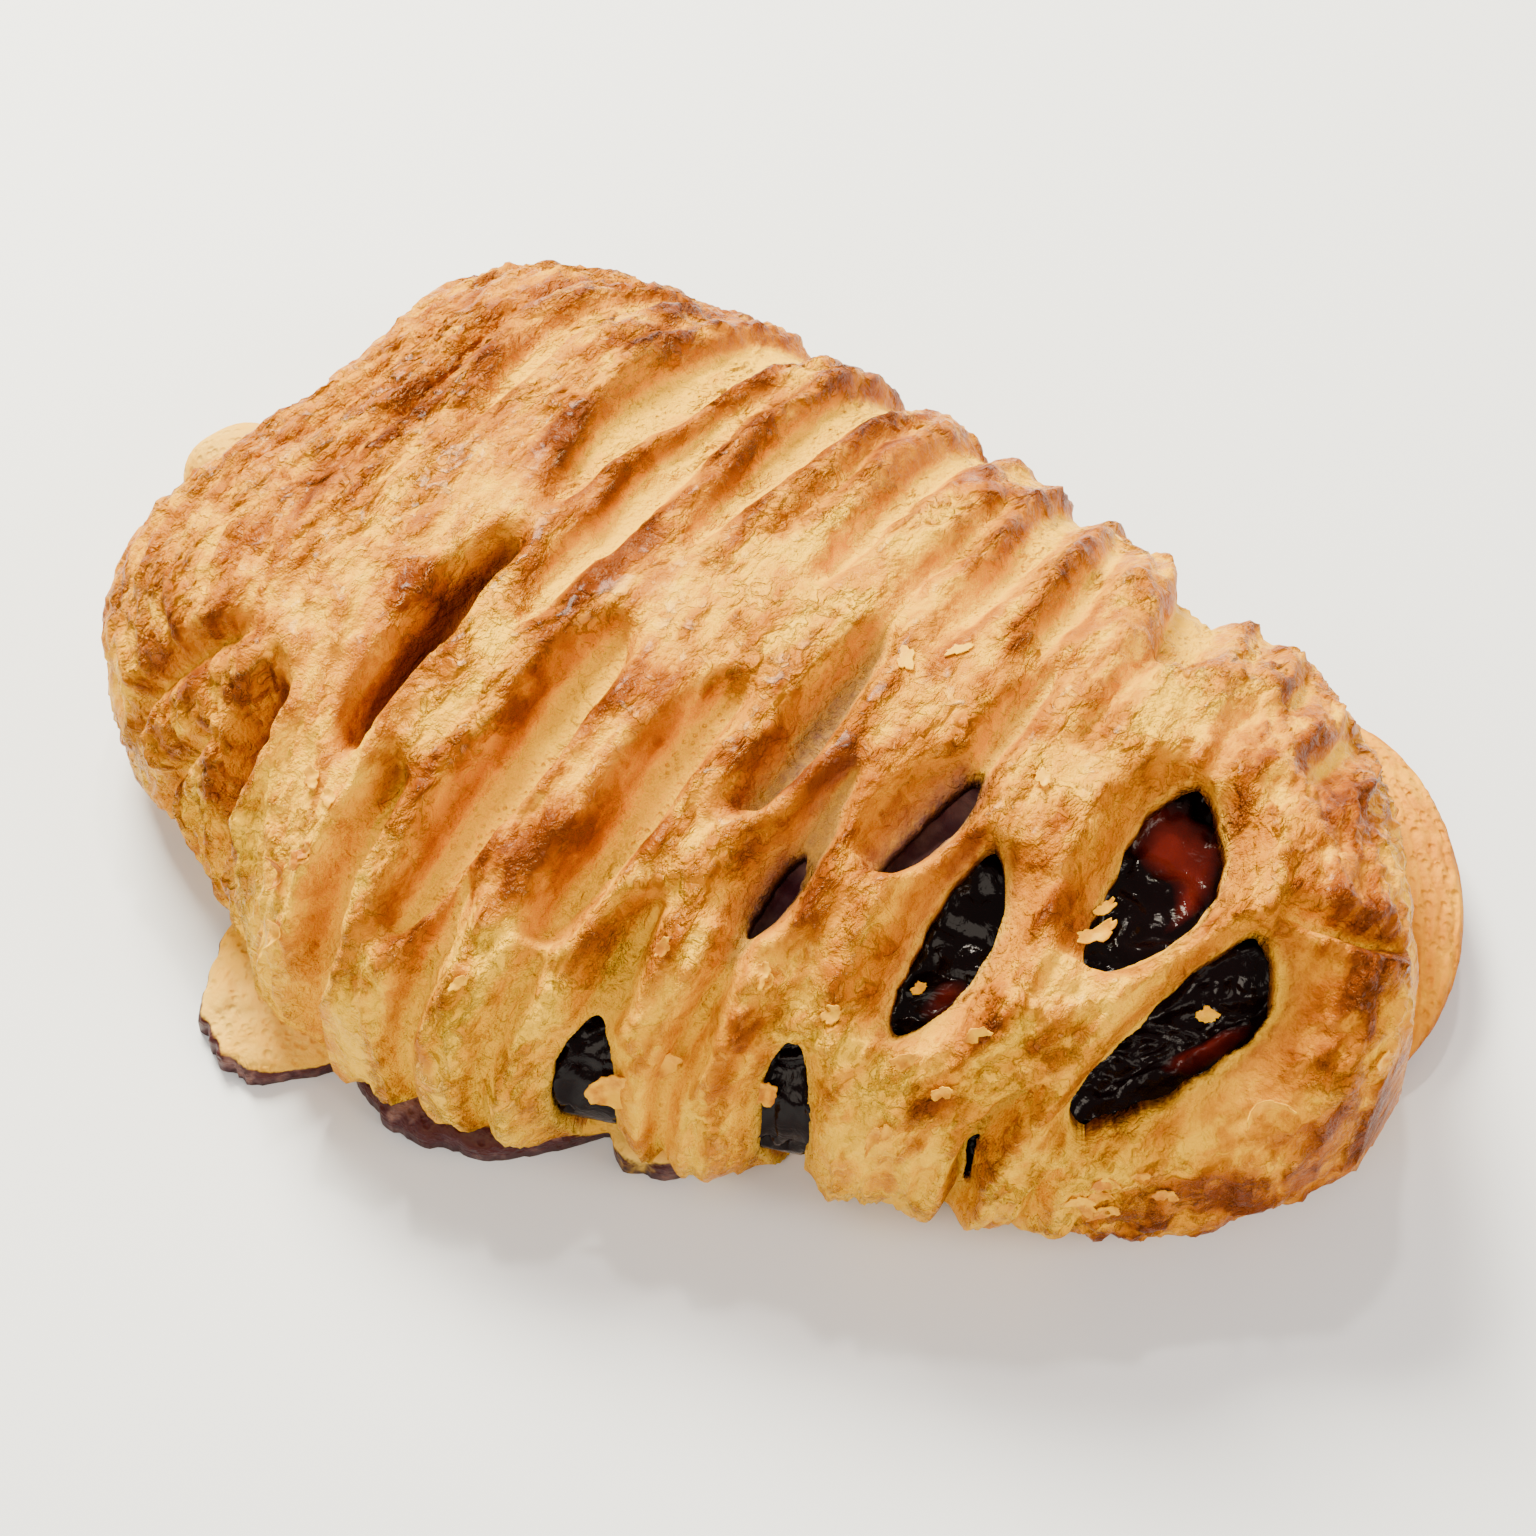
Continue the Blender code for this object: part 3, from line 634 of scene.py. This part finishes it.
def slit_plug(cut):
    """Smooth plug through the crust along one opening."""
    item, u, v = add_grid("plug_" + cut.name, *PLUG_GRID)
    bpy.ops.object.mode_set(mode="EDIT")
    bpy.ops.mesh.extrude_region_move(TRANSFORM_OT_translate={"value": (0, 0, 1)})
    bpy.ops.object.mode_set(mode="OBJECT")
    place = read_points(item)
    u, v, top = place[:, 0], place[:, 1], place[:, 2] > 0.5
    share = 0.5 - 0.5 * np.sin(v * pi / 2)
    back, front = np.array(cut.back), np.array(cut.front)
    wide = np.maximum(lens(cut, share), 0.15 * MM) / SPAN[0]
    wide = wide * (1.0 + 0.06 * np.sin(11 * share + 3 * u) * np.sin(23 * share))
    a = back[0] + (front[0] - back[0]) * share + u * wide
    a = a + cut.bow * 4.0 * share * (1.0 - share) / SPAN[0]
    b = back[1] + (front[1] - back[1]) * share
    outer = loaf(a, b) + skin_normal(a, b) * PLUG_ABOVE
    inner = loaf(a, b) - skin_normal(a, b) * PLUG_BELOW
    write_points(item, np.where(top[:, None], outer, inner))
    close_up(item, rim=False)
    return item


def crust_material(look):
    """Egg-washed pastry: pale in the grooves, blistered brown on the crowns."""
    kit = Kit("baked_crust")
    brown, crown, stain, wall, floor, varnish = (
        kit.attribute(name) for name in ("brown", "crown", "stain", "wall", "floor", "varnish")
    )
    blotch = kit.noise(1.8 * MM, 4.0, 0.58, (1, 0.35, 1))
    speck = kit.noise(0.55 * MM, 3.0, 0.65)
    skin = kit.noise(1.9 * MM, 5.0, 0.60, (1, 0.45, 1), 0.2)
    pimple = (1.0 - kit.cells(2.3 * MM)) * skin.ease(0.42, 0.58)
    chip = skin.ease(0.45, 0.58)
    chips = kit.noise(1.0 * MM, 4.0, 0.6, distortion=0.5).ease(0.50, 0.60)
    edge = (1.0 - (varnish - 0.5).math("ABSOLUTE") * 2.2).clip()
    tone = brown + ((blotch - 0.5) * 0.48 + (speck - 0.5) * 0.24) * (1.3 - brown).clip() + edge * 0.04
    tone = tone + (0.35 + crown * 0.65) * ((pimple - 0.3) * 0.16 + (chip - 0.5) * 0.16 - chips * 0.10)
    # The brown attribute brings painted shade and painted light into this ramp along with the browning.
    colour = kit.ramp(tone, (
        (0.02, look.cream), (0.20, look.pale), (0.38, look.gold),
        (0.57, look.amber), (0.78, look.brown), (1.00, look.dark),
    ))
    deep = kit.ramp(wall + (blotch - 0.5) * 0.4, (
        (0.0, look.wall), (0.45, look.wall), (0.8, look.stain), (1.0, look.stain_dark),
    ))
    pore = kit.cells(0.9 * MM).ease(0.40, 0.05) * floor * blotch.ease(0.42, 0.60)
    colour = kit.mix(pore * 0.3, colour, look.amber)
    colour = kit.mix(wall.ease(0.02, 0.25), colour, deep)
    colour = kit.mix((stain * (0.4 + speck * 1.2)).clip(), colour, look.stain)
    sheen = crown * (varnish * 0.5 + skin.ease(0.46, 0.60) * 0.3 + chips * 0.2)
    rough_here = kit.noise(7.0 * MM, 2.0).ease(0.38, 0.62) * 0.75 + 0.25
    relief = (skin * 0.7 + pimple * 0.9 + chip * 0.5 + chips * 0.5 + blotch * 0.4) * rough_here
    relief = relief * (varnish * 0.45 + crown * 0.12 + 0.35) + speck * 0.5 - pore * 0.3
    fine = kit.bump(relief, 1.15 * MM, 1.0)
    rough = 0.50 - sheen * 0.26 + (speck - 0.5) * 0.3
    kit.finish(Base_Color=colour, Roughness=rough.clip(), Normal=fine)
    kit.finish(Coat_Weight=(sheen * chips * 0.12).clip(), Coat_Roughness=0.18, Specular_IOR_Level=0.14)
    kit.finish(Specular_Tint=(1.0, 0.76, 0.30))
    return kit.material


# ---------------------------------------------------------------- the filling
def filling_material(look):
    """Wet dark jam with red where it is thin, and soaked dough in the slits."""
    kit = Kit("berry_jam")
    red = kit.attribute("red")
    dough = kit.attribute("dough")
    cloud = kit.noise(3.5 * MM, 3.0, 0.5)
    fine = kit.noise(0.8 * MM, 3.0, 0.6)
    tone = (red + (cloud - 0.5) * 0.9).clip()
    colour = kit.ramp(tone, (
        (0.0, look.jam), (0.45, look.jam), (0.68, look.jam_red), (1.0, look.jam_pink),
    ))
    soaked = kit.mix(cloud.ease(0.35, 0.65), look.stain_dark, look.stain)
    colour = kit.mix((dough + (fine - 0.5) * 0.3).ease(0.3, 0.6), colour, soaked)
    wrinkle = kit.noise(1.6 * MM, 4.0, 0.6, distortion=1.2)
    rough = 0.06 + dough * 0.45 + fine * 0.10
    bump = kit.bump(wrinkle + fine * 0.15, 0.40 * MM, 0.5)
    kit.finish(Base_Color=colour, Roughness=rough.clip(), Normal=bump)
    kit.finish(Specular_IOR_Level=0.11)
    kit.finish(Subsurface_Weight=0.10, Subsurface_Radius=(1.0, 0.15, 0.1), Subsurface_Scale=1.0 * MM)
    return kit.material


# ---------------------------------------------------------------- the flakes
Flake = namedtuple("Flake", "along across length width turn lift curl")

BIG_FLAKES = (
    Flake(0.445, -0.215, 4.6, 1.7, 0.45, 1.2, 0.5),
    Flake(0.428, -0.150, 3.0, 1.1, 0.20, 0.7, 0.4),
    Flake(0.626, -0.253, 2.3, 1.7, 0.70, -10.0, 0.3),
    Flake(0.338, -0.432, 1.5, 1.1, 0.30, -9.2, 0.3),
    Flake(0.126, -0.815, 5.4, 4.2, 1.10, 0.8, 0.9),
    Flake(0.168, -0.740, 3.6, 2.4, 0.30, 0.5, 0.6),
    Flake(0.300, -0.800, 4.0, 2.6, 0.10, 0.4, 0.5),
    Flake(0.792, -0.380, 5.0, 1.3, 0.10, 0.5, 0.4),
    Flake(0.800, -0.780, 3.6, 2.0, 1.30, 0.4, 0.4),
)


def scatter_flakes(count):
    """Small flakes at random, most of them low on the front."""
    chance = np.random.default_rng(7)
    flakes = []
    for _ in range(count):
        low = chance.random() < 0.6
        across = chance.uniform(-0.78, -0.50) if low else chance.uniform(-0.6, 0.6)
        along = chance.uniform(-0.35, 0.85)
        length, width = chance.uniform(1.6, 3.6), chance.uniform(0.9, 2.0)
        turn, curl = chance.uniform(-0.7, 0.7), chance.uniform(0.2, 0.5)
        flakes.append(Flake(along, across, length, width, turn, 0.3, curl))
    return flakes


def flake_places(flakes):
    """Sheet places of the flakes' middles, as two arrays."""
    return (np.array([getattr(flake, key) for flake in flakes]) for key in ("along", "across"))


def add_flake(flake, seed, skin):
    """A ragged curled scrap of skin, sizes in millimetres, at a height of the skin."""
    item, u, v = add_grid("flake", *FLAKE_GRID)
    x, y = u * np.sqrt(1 - v * v / 2), v * np.sqrt(1 - u * u / 2)
    ragged = 1.0 + 0.45 * grain(np.arctan2(y, x), 0 * x + seed, 0.7, seed, 3) * np.hypot(x, y)
    x, y = x * ragged * flake.width * MM / 2, y * ragged * flake.length * MM / 2
    a, b = np.array([flake.along]), np.array([flake.across])
    normal = skin_normal(a, b)[0]
    run = loaf(a, b + 0.01)[0] - loaf(a, b - 0.01)[0]
    run = run / np.linalg.norm(run)
    side = np.cross(run, normal)
    run, side = run * cos(flake.turn) + side * sin(flake.turn), side * cos(flake.turn) - run * sin(flake.turn)
    bend = flake.curl * (np.hypot(x, y) / (flake.width * MM / 2)) ** 2 * 0.4
    rise = (flake.lift + bend + 0.35 * grain(x, y, 1.5 * MM, seed, 2)) * MM + skin
    points = loaf(a, b) + np.outer(x, side) + np.outer(y, run) + np.outer(rise, normal)
    write_points(item, np.clip(points, *(np.array(corner) for corner in CAD_BOX)))
    return item


def join_up(pieces, name):
    """One object from many."""
    bpy.ops.object.select_all(action="DESELECT")
    for piece in pieces:
        piece.select_set(True)
    bpy.context.view_layer.objects.active = pieces[0]
    bpy.ops.object.join()
    bpy.context.object.name = name
    return bpy.context.object


def flake_material(look):
    """Thin dry skin, pale with toasted spots."""
    kit = Kit("flaked_skin")
    blotch = kit.noise(1.2 * MM, 4.0, 0.6)
    patch = kit.noise(14 * MM, 2.0)
    colour = kit.ramp(blotch * 0.5 + patch * 0.5, ((0.40, look.cream), (0.50, look.pale), (0.60, look.amber)))
    kit.finish(Base_Color=colour, Roughness=0.45, Specular_IOR_Level=0.3, Specular_Tint=(1.0, 0.75, 0.4))
    kit.finish(Normal=kit.bump(blotch, 0.3 * MM, 0.6))
    return kit.material


# ------------------------------------------------------------------- the base
def lobe_sizes(turn):
    """Share of a lobe, its reach from the plain edge and its rise."""
    share, reach, rise = (np.zeros_like(turn) for _ in range(3))
    for lobe in LOBES:
        off = np.abs((turn - lobe.direction + 180.0) % 360.0 - 180.0)
        swell = np.exp(-(off / lobe.spread) ** 3.2)
        share = np.maximum(share, swell)
        reach = np.maximum(reach, (lobe.reach + BASE_TOP_INSET) * swell)
        rise = rise + lobe.rise * swell
    return share, reach, rise


def base_material(look):
    """Pale soft dough with browned rims and jam-stained torn edges."""
    kit = Kit("base_dough")
    brown = kit.attribute("brown")
    stain = kit.attribute("stain")
    blotch = kit.noise(3.0 * MM, 4.0, 0.6)
    speck = kit.noise(0.7 * MM, 3.0, 0.65)
    pores = kit.cells(1.3 * MM).ease(0.1, 0.5)
    layer = kit.noise(1.3 * MM, 3.0, 0.6, (0.2, 0.2, 1.2))
    colour = kit.ramp(brown + (blotch - 0.5) * 0.4 + (speck - 0.5) * 0.2 + (layer - 0.5) * 0.7, (
        (0.0, look.dough), (0.35, look.pale), (0.6, look.gold), (0.8, look.amber), (1.0, look.brown),
    ))
    mark = (stain + (blotch - 0.5) * 0.9 + (speck - 0.5) * 0.4).ease(0.35, 0.62)
    jam = kit.ramp(blotch, ((0.35, look.jam_red), (0.5, look.stain_dark), (0.62, look.stain)))
    colour = kit.mix(mark, colour, jam)
    bump = kit.bump(pores * 0.5 + speck * 0.5 + layer * 1.2, 0.5 * MM, 1.0)
    kit.finish(Base_Color=colour, Roughness=(0.7 - mark * 0.3).clip(), Normal=bump)
    kit.finish(Specular_IOR_Level=0.2, Specular_Tint=(1.0, 0.85, 0.55))
    return kit.material


# ------------------------------------------------------------------- the stage
# Area lights aimed at the pastry: place, width in metres, watts and colour.
Lamp = namedtuple("Lamp", "name place width power colour")

LAMPS = (
    Lamp("key", (-0.70, 0.50, 0.80), 0.45, 52.0, (1.0, 0.93, 0.72)),
    Lamp("window", (-0.26, 0.50, 1.05), 0.07, 5.0, (1.0, 0.88, 0.74)),
    Lamp("side", (0.85, 0.05, 0.60), 0.40, 7.0, (1.0, 0.88, 0.74)),
    Lamp("front", (0.10, -0.95, 0.75), 0.70, 8.0, (1.0, 0.88, 0.74)),
)
FLOOR_SIZE = 6
FLOOR_COLOUR = (0.83, 0.88, 0.97)
SKY_COLOUR = (1.0, 0.94, 0.82, 1.0)
SKY_STRENGTH = 0.48
CAMERA_AZIMUTH = radians(33)
CAMERA_ELEVATION = radians(51)
CAMERA_TARGET = Vector((-1.324 * MM, 12.42 * MM, 0.0))
SENSOR_WIDTH = 36.0


def place_aimed(name, data, place, direction):
    """Links a lamp or a camera at a place, looking in a direction."""
    item = bpy.data.objects.new(name, data)
    item.location = place
    item.rotation_euler = direction.to_track_quat("-Z", "Y").to_euler()
    bpy.context.collection.objects.link(item)
    return item


# -------------------------------------------------------------------- settings
def colour_prop(name, text, *shade):
    return bpy.props.FloatVectorProperty(
        name=name, description=text, subtype="COLOR", size=3, min=0.0, max=1.0, default=shade)


class DanishLook(bpy.types.PropertyGroup):
    """Colours of the pastry and the jam."""

    cream: colour_prop("Cream", "Palest dough in the grooves", 0.92, 0.50, 0.006)
    pale: colour_prop("Pale", "Lightly baked skin", 0.86, 0.41, 0.0005)
    gold: colour_prop("Gold", "Golden skin", 0.68, 0.262, 0.0002)
    # The amber, brown and dark colours also show the painted shade of the groove walls, the strands' flanks,
    # the fold creases and the deep pits.
    amber: colour_prop("Amber", "Well baked skin", 0.50, 0.156, 0.0002)
    brown: colour_prop("Brown", "Browned crowns", 0.32, 0.074, 0.0002)
    dark: colour_prop("Dark", "Darkest crests", 0.16, 0.028, 0.0002)
    wall: colour_prop("Wall", "Inner side of the openings", 0.46, 0.155, 0.001)
    dough: colour_prop("Dough", "Soft base dough", 0.86, 0.52, 0.08)
    stain: colour_prop("Stain", "Dough soaked with jam", 0.20, 0.10, 0.085)
    stain_dark: colour_prop("Dark stain", "Dough soaked through", 0.055, 0.012, 0.018)
    jam: colour_prop("Jam", "Deep jam", 0.004, 0.001, 0.0015)
    jam_red: colour_prop("Jam red", "Thin jam", 0.050, 0.004, 0.003)
    jam_pink: colour_prop("Jam pink", "Fruit flesh at the surface", 0.17, 0.016, 0.010)


class DanishShape(bpy.types.PropertyGroup):
    """Sizes and counts."""

    columns: bpy.props.IntProperty(
        name="Columns", description="Crust grid cells along the pastry", default=372, min=40, max=460)
    rows: bpy.props.IntProperty(
        name="Rows", description="Crust grid cells across the pastry", default=206, min=30, max=300)
    flakes: bpy.props.IntProperty(
        name="Flakes", description="Small loose scraps of skin", default=55, min=0, max=400)
    camera_distance: bpy.props.FloatProperty(
        name="Camera distance", description="Camera to the pastry", default=0.403, unit="LENGTH")
    camera_lens: bpy.props.FloatProperty(
        name="Lens", description="Focal length in millimetres", default=77.34, subtype="DISTANCE_CAMERA")


# ------------------------------------------------------------------- operators
class DANISH_OT_crust(bpy.types.Operator):
    """Slit, folded and blistered crust over the filling"""

    bl_idname = "danish.crust"
    bl_label = "Crust"

    def execute(self, context):
        shape, look = context.scene.danish_shape, context.scene.danish_look
        item, a, b = add_grid("crust", shape.columns, shape.rows)
        height, brown, cut, crown, varnish = crust_fields(a, b)
        skin = loaf(a, b) + skin_normal(a, b) * height[:, None]
        low, high = (np.array(corner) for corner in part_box("lattice_crust"))
        over = np.maximum(skin[:, 2] - high[2] + TOP_ROOM, 0.0)
        skin[:, 2] += TOP_SOFTNESS * (1.0 - np.exp(-over / TOP_SOFTNESS)) - over
        skin = np.clip(skin, low, high)
        write_points(item, skin)
        close_up(item)
        hollow, ha, hb = add_grid("hollow", *HOLLOW_GRID)
        carved = Relief(ha, hb).depth
        low = ease(0.84, 0.95, np.maximum(np.abs(ha), np.abs(hb))) * np.minimum(carved / (4 * MM), 1.0)
        under = np.maximum(CRUST_THICKNESS, 3.3 * MM + carved + 3.0 * MM * low)
        write_points(hollow, under_skin(ha, hb, under, under, -1.0 * MM, HOLLOW_CURL))
        close_up(hollow)
        cut_away(item, hollow)
        for opening in OPENINGS:
            cut_away(item, slit_plug(opening))
        tree = KDTree(len(skin))
        for index, point in enumerate(skin):
            tree.insert(point, index)
        tree.balance()
        found = [tree.find(vert.co)[1:] for vert in item.data.vertices]
        source = np.array([index for index, _ in found])
        away = np.array([distance for _, distance in found])
        # The brown share holds the oven's browning together with painted shade and painted light.
        shares = {"brown": brown, "crown": crown, "stain": cut.stain, "floor": cut.floor, "varnish": varnish}
        for name, values in shares.items():
            write_share(item, name, values[source])
        write_share(item, "wall", ease(0.5 * MM, 4.5 * MM, away))
        settle(item, "lattice_crust", crust_material(look))
        return {"FINISHED"}


class DANISH_OT_filling(bpy.types.Operator):
    """Lumpy wet berry filling"""

    bl_idname = "danish.filling"
    bl_label = "Filling"

    def execute(self, context):
        item, a, b = add_grid("filling", *FILLING_GRID)
        x, y = a * SPAN[0], b * SPAN[1]
        lump = grain(x, y, 4.2 * MM, 31.0, 2)
        pits = np.abs(grain(x, y, 5 * MM, 37.0, 2))
        inset = 6.8 * MM - 1.5 * MM * lump + 1.2 * MM * np.exp(-(pits / 0.16) ** 2)
        dough = np.zeros(len(a))
        inset = np.maximum(inset, Relief(a, b).depth + 4.0 * MM - 1.0 * MM * lump)
        for cut in OPENINGS:
            gap, t, _ = beside(cut, a, b)
            inside = np.exp(-(np.maximum(gap, 0.0) / (3 * MM)) ** 2)
            if cut.stain > 0.9:
                dough = np.maximum(dough, inside)
            if cut.name.startswith("front"):
                inset = inset - 3.2 * MM * inside * ease(0.1, 0.6, t)
        rim = np.maximum(inset, CRUST_THICKNESS)
        write_points(item, under_skin(a, b, inset, rim, BASE_THICKNESS + GAP, FILLING_CURL))
        write_share(item, "red", patched(RED_FRUIT, a, b))
        write_share(item, "dough", dough)
        close_up(item)
        settle(item, "berry_filling", filling_material(context.scene.danish_look))
        return {"FINISHED"}


class DANISH_OT_base(bpy.types.Operator):
    """Base sheet with its tongue, hem and curled flaps"""

    bl_idname = "danish.base"
    bl_label = "Base"

    def execute(self, context):
        item, a, b = add_grid("base", *BASE_GRID)
        r = np.maximum(np.abs(a), np.abs(b))
        rim = np.maximum(r, 1e-6)
        x, y = on_plan(a / rim, b / rim)
        turn = np.degrees(np.arctan2(y * WIDTH, x * LENGTH))
        share, reach, rise = lobe_sizes(turn)
        edge = np.maximum((r - BASE_FLAT) / (1.0 - BASE_FLAT), 0.0) * pi / 2
        torn = ease(-148, -138, turn) * ease(-58, -68, turn)
        ragged = grain(turn * 0.6 * MM, 0 * turn, 2.5 * MM, 4.4, 4)
        reach = reach * (1.0 + 0.10 * torn * ragged)
        out = reach * np.sin(edge) - (1.0 - share) * BASE_CURL * (1.0 - np.cos(edge))
        px, py = to_floor_plan(x, y, BASE_TOP_INSET)
        nx, ny = outward(x, y)
        inner = np.minimum(r / BASE_FLAT, 1.0)
        px = px * inner + nx * out + CENTRE[0]
        py = py * inner + ny * out + CENTRE[1]
        climb = np.clip((out - BASE_TOP_INSET + 3.5 * MM) / (5.5 * MM), 0.0, 1.0)
        top = BASE_THICKNESS + rise * climb * climb * (3.0 - 2.0 * climb)
        rough = grain(px, py, 3 * MM, 15.0, 3)
        flap = ease(-5, 5, turn) * ease(75, 60, turn)
        ridge = np.sin(out / (0.26 * MM) + 3.0 * rough) * flap
        top = top + (0.5 * rough * (0.4 + torn) + 0.22 * ridge) * MM * climb
        lip = top * np.maximum(np.cos(edge), 0.0) ** 0.2
        slope = BASE_THICKNESS * (1.0 - np.sin(edge))
        z = share * lip + (1.0 - share) * slope
        sunk = 1.0 - np.clip(z / np.maximum(top, MM), 0.0, 1.0)
        under = np.clip(rise / (14 * MM), 0.0, 1.0) * sunk ** 1.5
        under = under * (6.0 + 1.2 * rough) * MM * ease(0.6, 0.9, r)
        px, py = px - nx * under, py - ny * under
        low, high = (np.array(corner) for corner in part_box("base_crust"))
        write_points(item, np.clip(np.stack([px, py, np.maximum(z, 0.0)], axis=-1), low, high))
        outer = ease(0.80, 0.99, r + 0.05 * ragged)
        curl = ease(166, 172, np.abs(turn))
        brown = 0.12 + flap * (0.44 + 0.10 * rough + 0.40 * outer)
        brown = brown + curl * (0.06 + 0.60 * outer) + 0.3 * (1 - share)
        tongue = ease(-148, -140, turn) * ease(-111, -118, turn)
        hem = ease(-117, -110, turn) * ease(-80, -87, turn)
        scrap = ease(-86, -80, turn) * ease(-58, -66, turn)
        stain = tongue * (0.10 + 0.72 * outer) + hem * (0.42 + 0.5 * ease(0.55, 0.85, r))
        stain = stain + scrap * (0.2 + 0.5 * outer)
        write_share(item, "brown", brown)
        write_share(item, "stain", stain)
        close_up(item)
        settle(item, "base_crust", base_material(context.scene.danish_look))
        return {"FINISHED"}


class DANISH_OT_flakes(bpy.types.Operator):
    """Loose scraps of skin that the baking has lifted"""

    bl_idname = "danish.flakes"
    bl_label = "Flakes"

    def execute(self, context):
        flakes = [*BIG_FLAKES, *scatter_flakes(context.scene.danish_shape.flakes)]
        near = Relief(*flake_places(flakes)).near
        kept = [
            flake for flake, share in zip(flakes, near)
            if flake in BIG_FLAKES or share < 0.15 and flake.across < 0.35
        ]
        skins = crust_fields(*flake_places(kept))[0]
        skins = [0.0 if flake.lift < 0 else skin for flake, skin in zip(kept, skins)]
        pieces = [add_flake(flake, 1.7 * k, skins[k]) for k, flake in enumerate(kept)]
        item = join_up(pieces, "flakes")
        skin = item.modifiers.new("skin", "SOLIDIFY")
        skin.thickness = FLAKE_THICKNESS
        bpy.ops.object.modifier_apply(modifier=skin.name)
        settle(item, None, flake_material(context.scene.danish_look))
        return {"FINISHED"}


class DANISH_OT_stage(bpy.types.Operator):
    """Pale floor, soft lights and the camera"""

    bl_idname = "danish.stage"
    bl_label = "Stage"

    def execute(self, context):
        shape = context.scene.danish_shape
        bpy.ops.object.select_all(action="DESELECT")
        bpy.ops.mesh.primitive_plane_add(size=FLOOR_SIZE)
        floor = context.object
        floor.name = "floor"
        kit = Kit("floor")
        kit.finish(Base_Color=FLOOR_COLOUR, Roughness=0.6)
        floor.data.materials.append(kit.material)
        world = bpy.data.worlds.new("studio")
        world.use_nodes = True
        sky = world.node_tree.nodes["Background"].inputs
        sky["Color"].default_value = SKY_COLOUR
        sky["Strength"].default_value = SKY_STRENGTH
        context.scene.world = world
        for lamp in LAMPS:
            light = bpy.data.lights.new(lamp.name, "AREA")
            light.shape = "SQUARE"
            light.size = lamp.width
            light.energy = lamp.power
            light.color = lamp.colour
            place_aimed(lamp.name, light, lamp.place, Vector(lamp.place) * -1)
        level = cos(CAMERA_ELEVATION)
        back = Vector((sin(CAMERA_AZIMUTH) * level, -cos(CAMERA_AZIMUTH) * level, sin(CAMERA_ELEVATION)))
        camera = bpy.data.cameras.new("camera")
        camera.lens = shape.camera_lens
        camera.sensor_width = SENSOR_WIDTH
        camera.clip_start = 0.01
        place = CAMERA_TARGET + back * shape.camera_distance
        context.scene.camera = place_aimed("camera", camera, place, -back)
        return {"FINISHED"}


OPERATORS = (DANISH_OT_crust, DANISH_OT_filling, DANISH_OT_base, DANISH_OT_flakes, DANISH_OT_stage)


class DANISH_PT_panel(bpy.types.Panel):
    """Danish pieces"""

    bl_idname = "DANISH_PT_panel"
    bl_label = "Danish"
    bl_space_type = "VIEW_3D"
    bl_region_type = "UI"
    bl_category = "Danish"

    def draw(self, context):
        for operator in OPERATORS:
            self.layout.operator(operator.bl_idname)
        for group in (context.scene.danish_shape, context.scene.danish_look):
            for name in group.__annotations__:
                self.layout.prop(group, name)


CLASSES = (DanishLook, DanishShape, *OPERATORS, DANISH_PT_panel)


def register():
    for item in CLASSES:
        bpy.utils.register_class(item)
    bpy.types.Scene.danish_look = bpy.props.PointerProperty(type=DanishLook)
    bpy.types.Scene.danish_shape = bpy.props.PointerProperty(type=DanishShape)


def unregister():
    del bpy.types.Scene.danish_shape
    del bpy.types.Scene.danish_look
    for item in reversed(CLASSES):
        bpy.utils.unregister_class(item)


def main():
    """Builds every piece in order."""
    register()
    for operator in OPERATORS:
        group, name = operator.bl_idname.split(".")
        getattr(getattr(bpy.ops, group), name)()


if __name__ == "__main__":
    main()
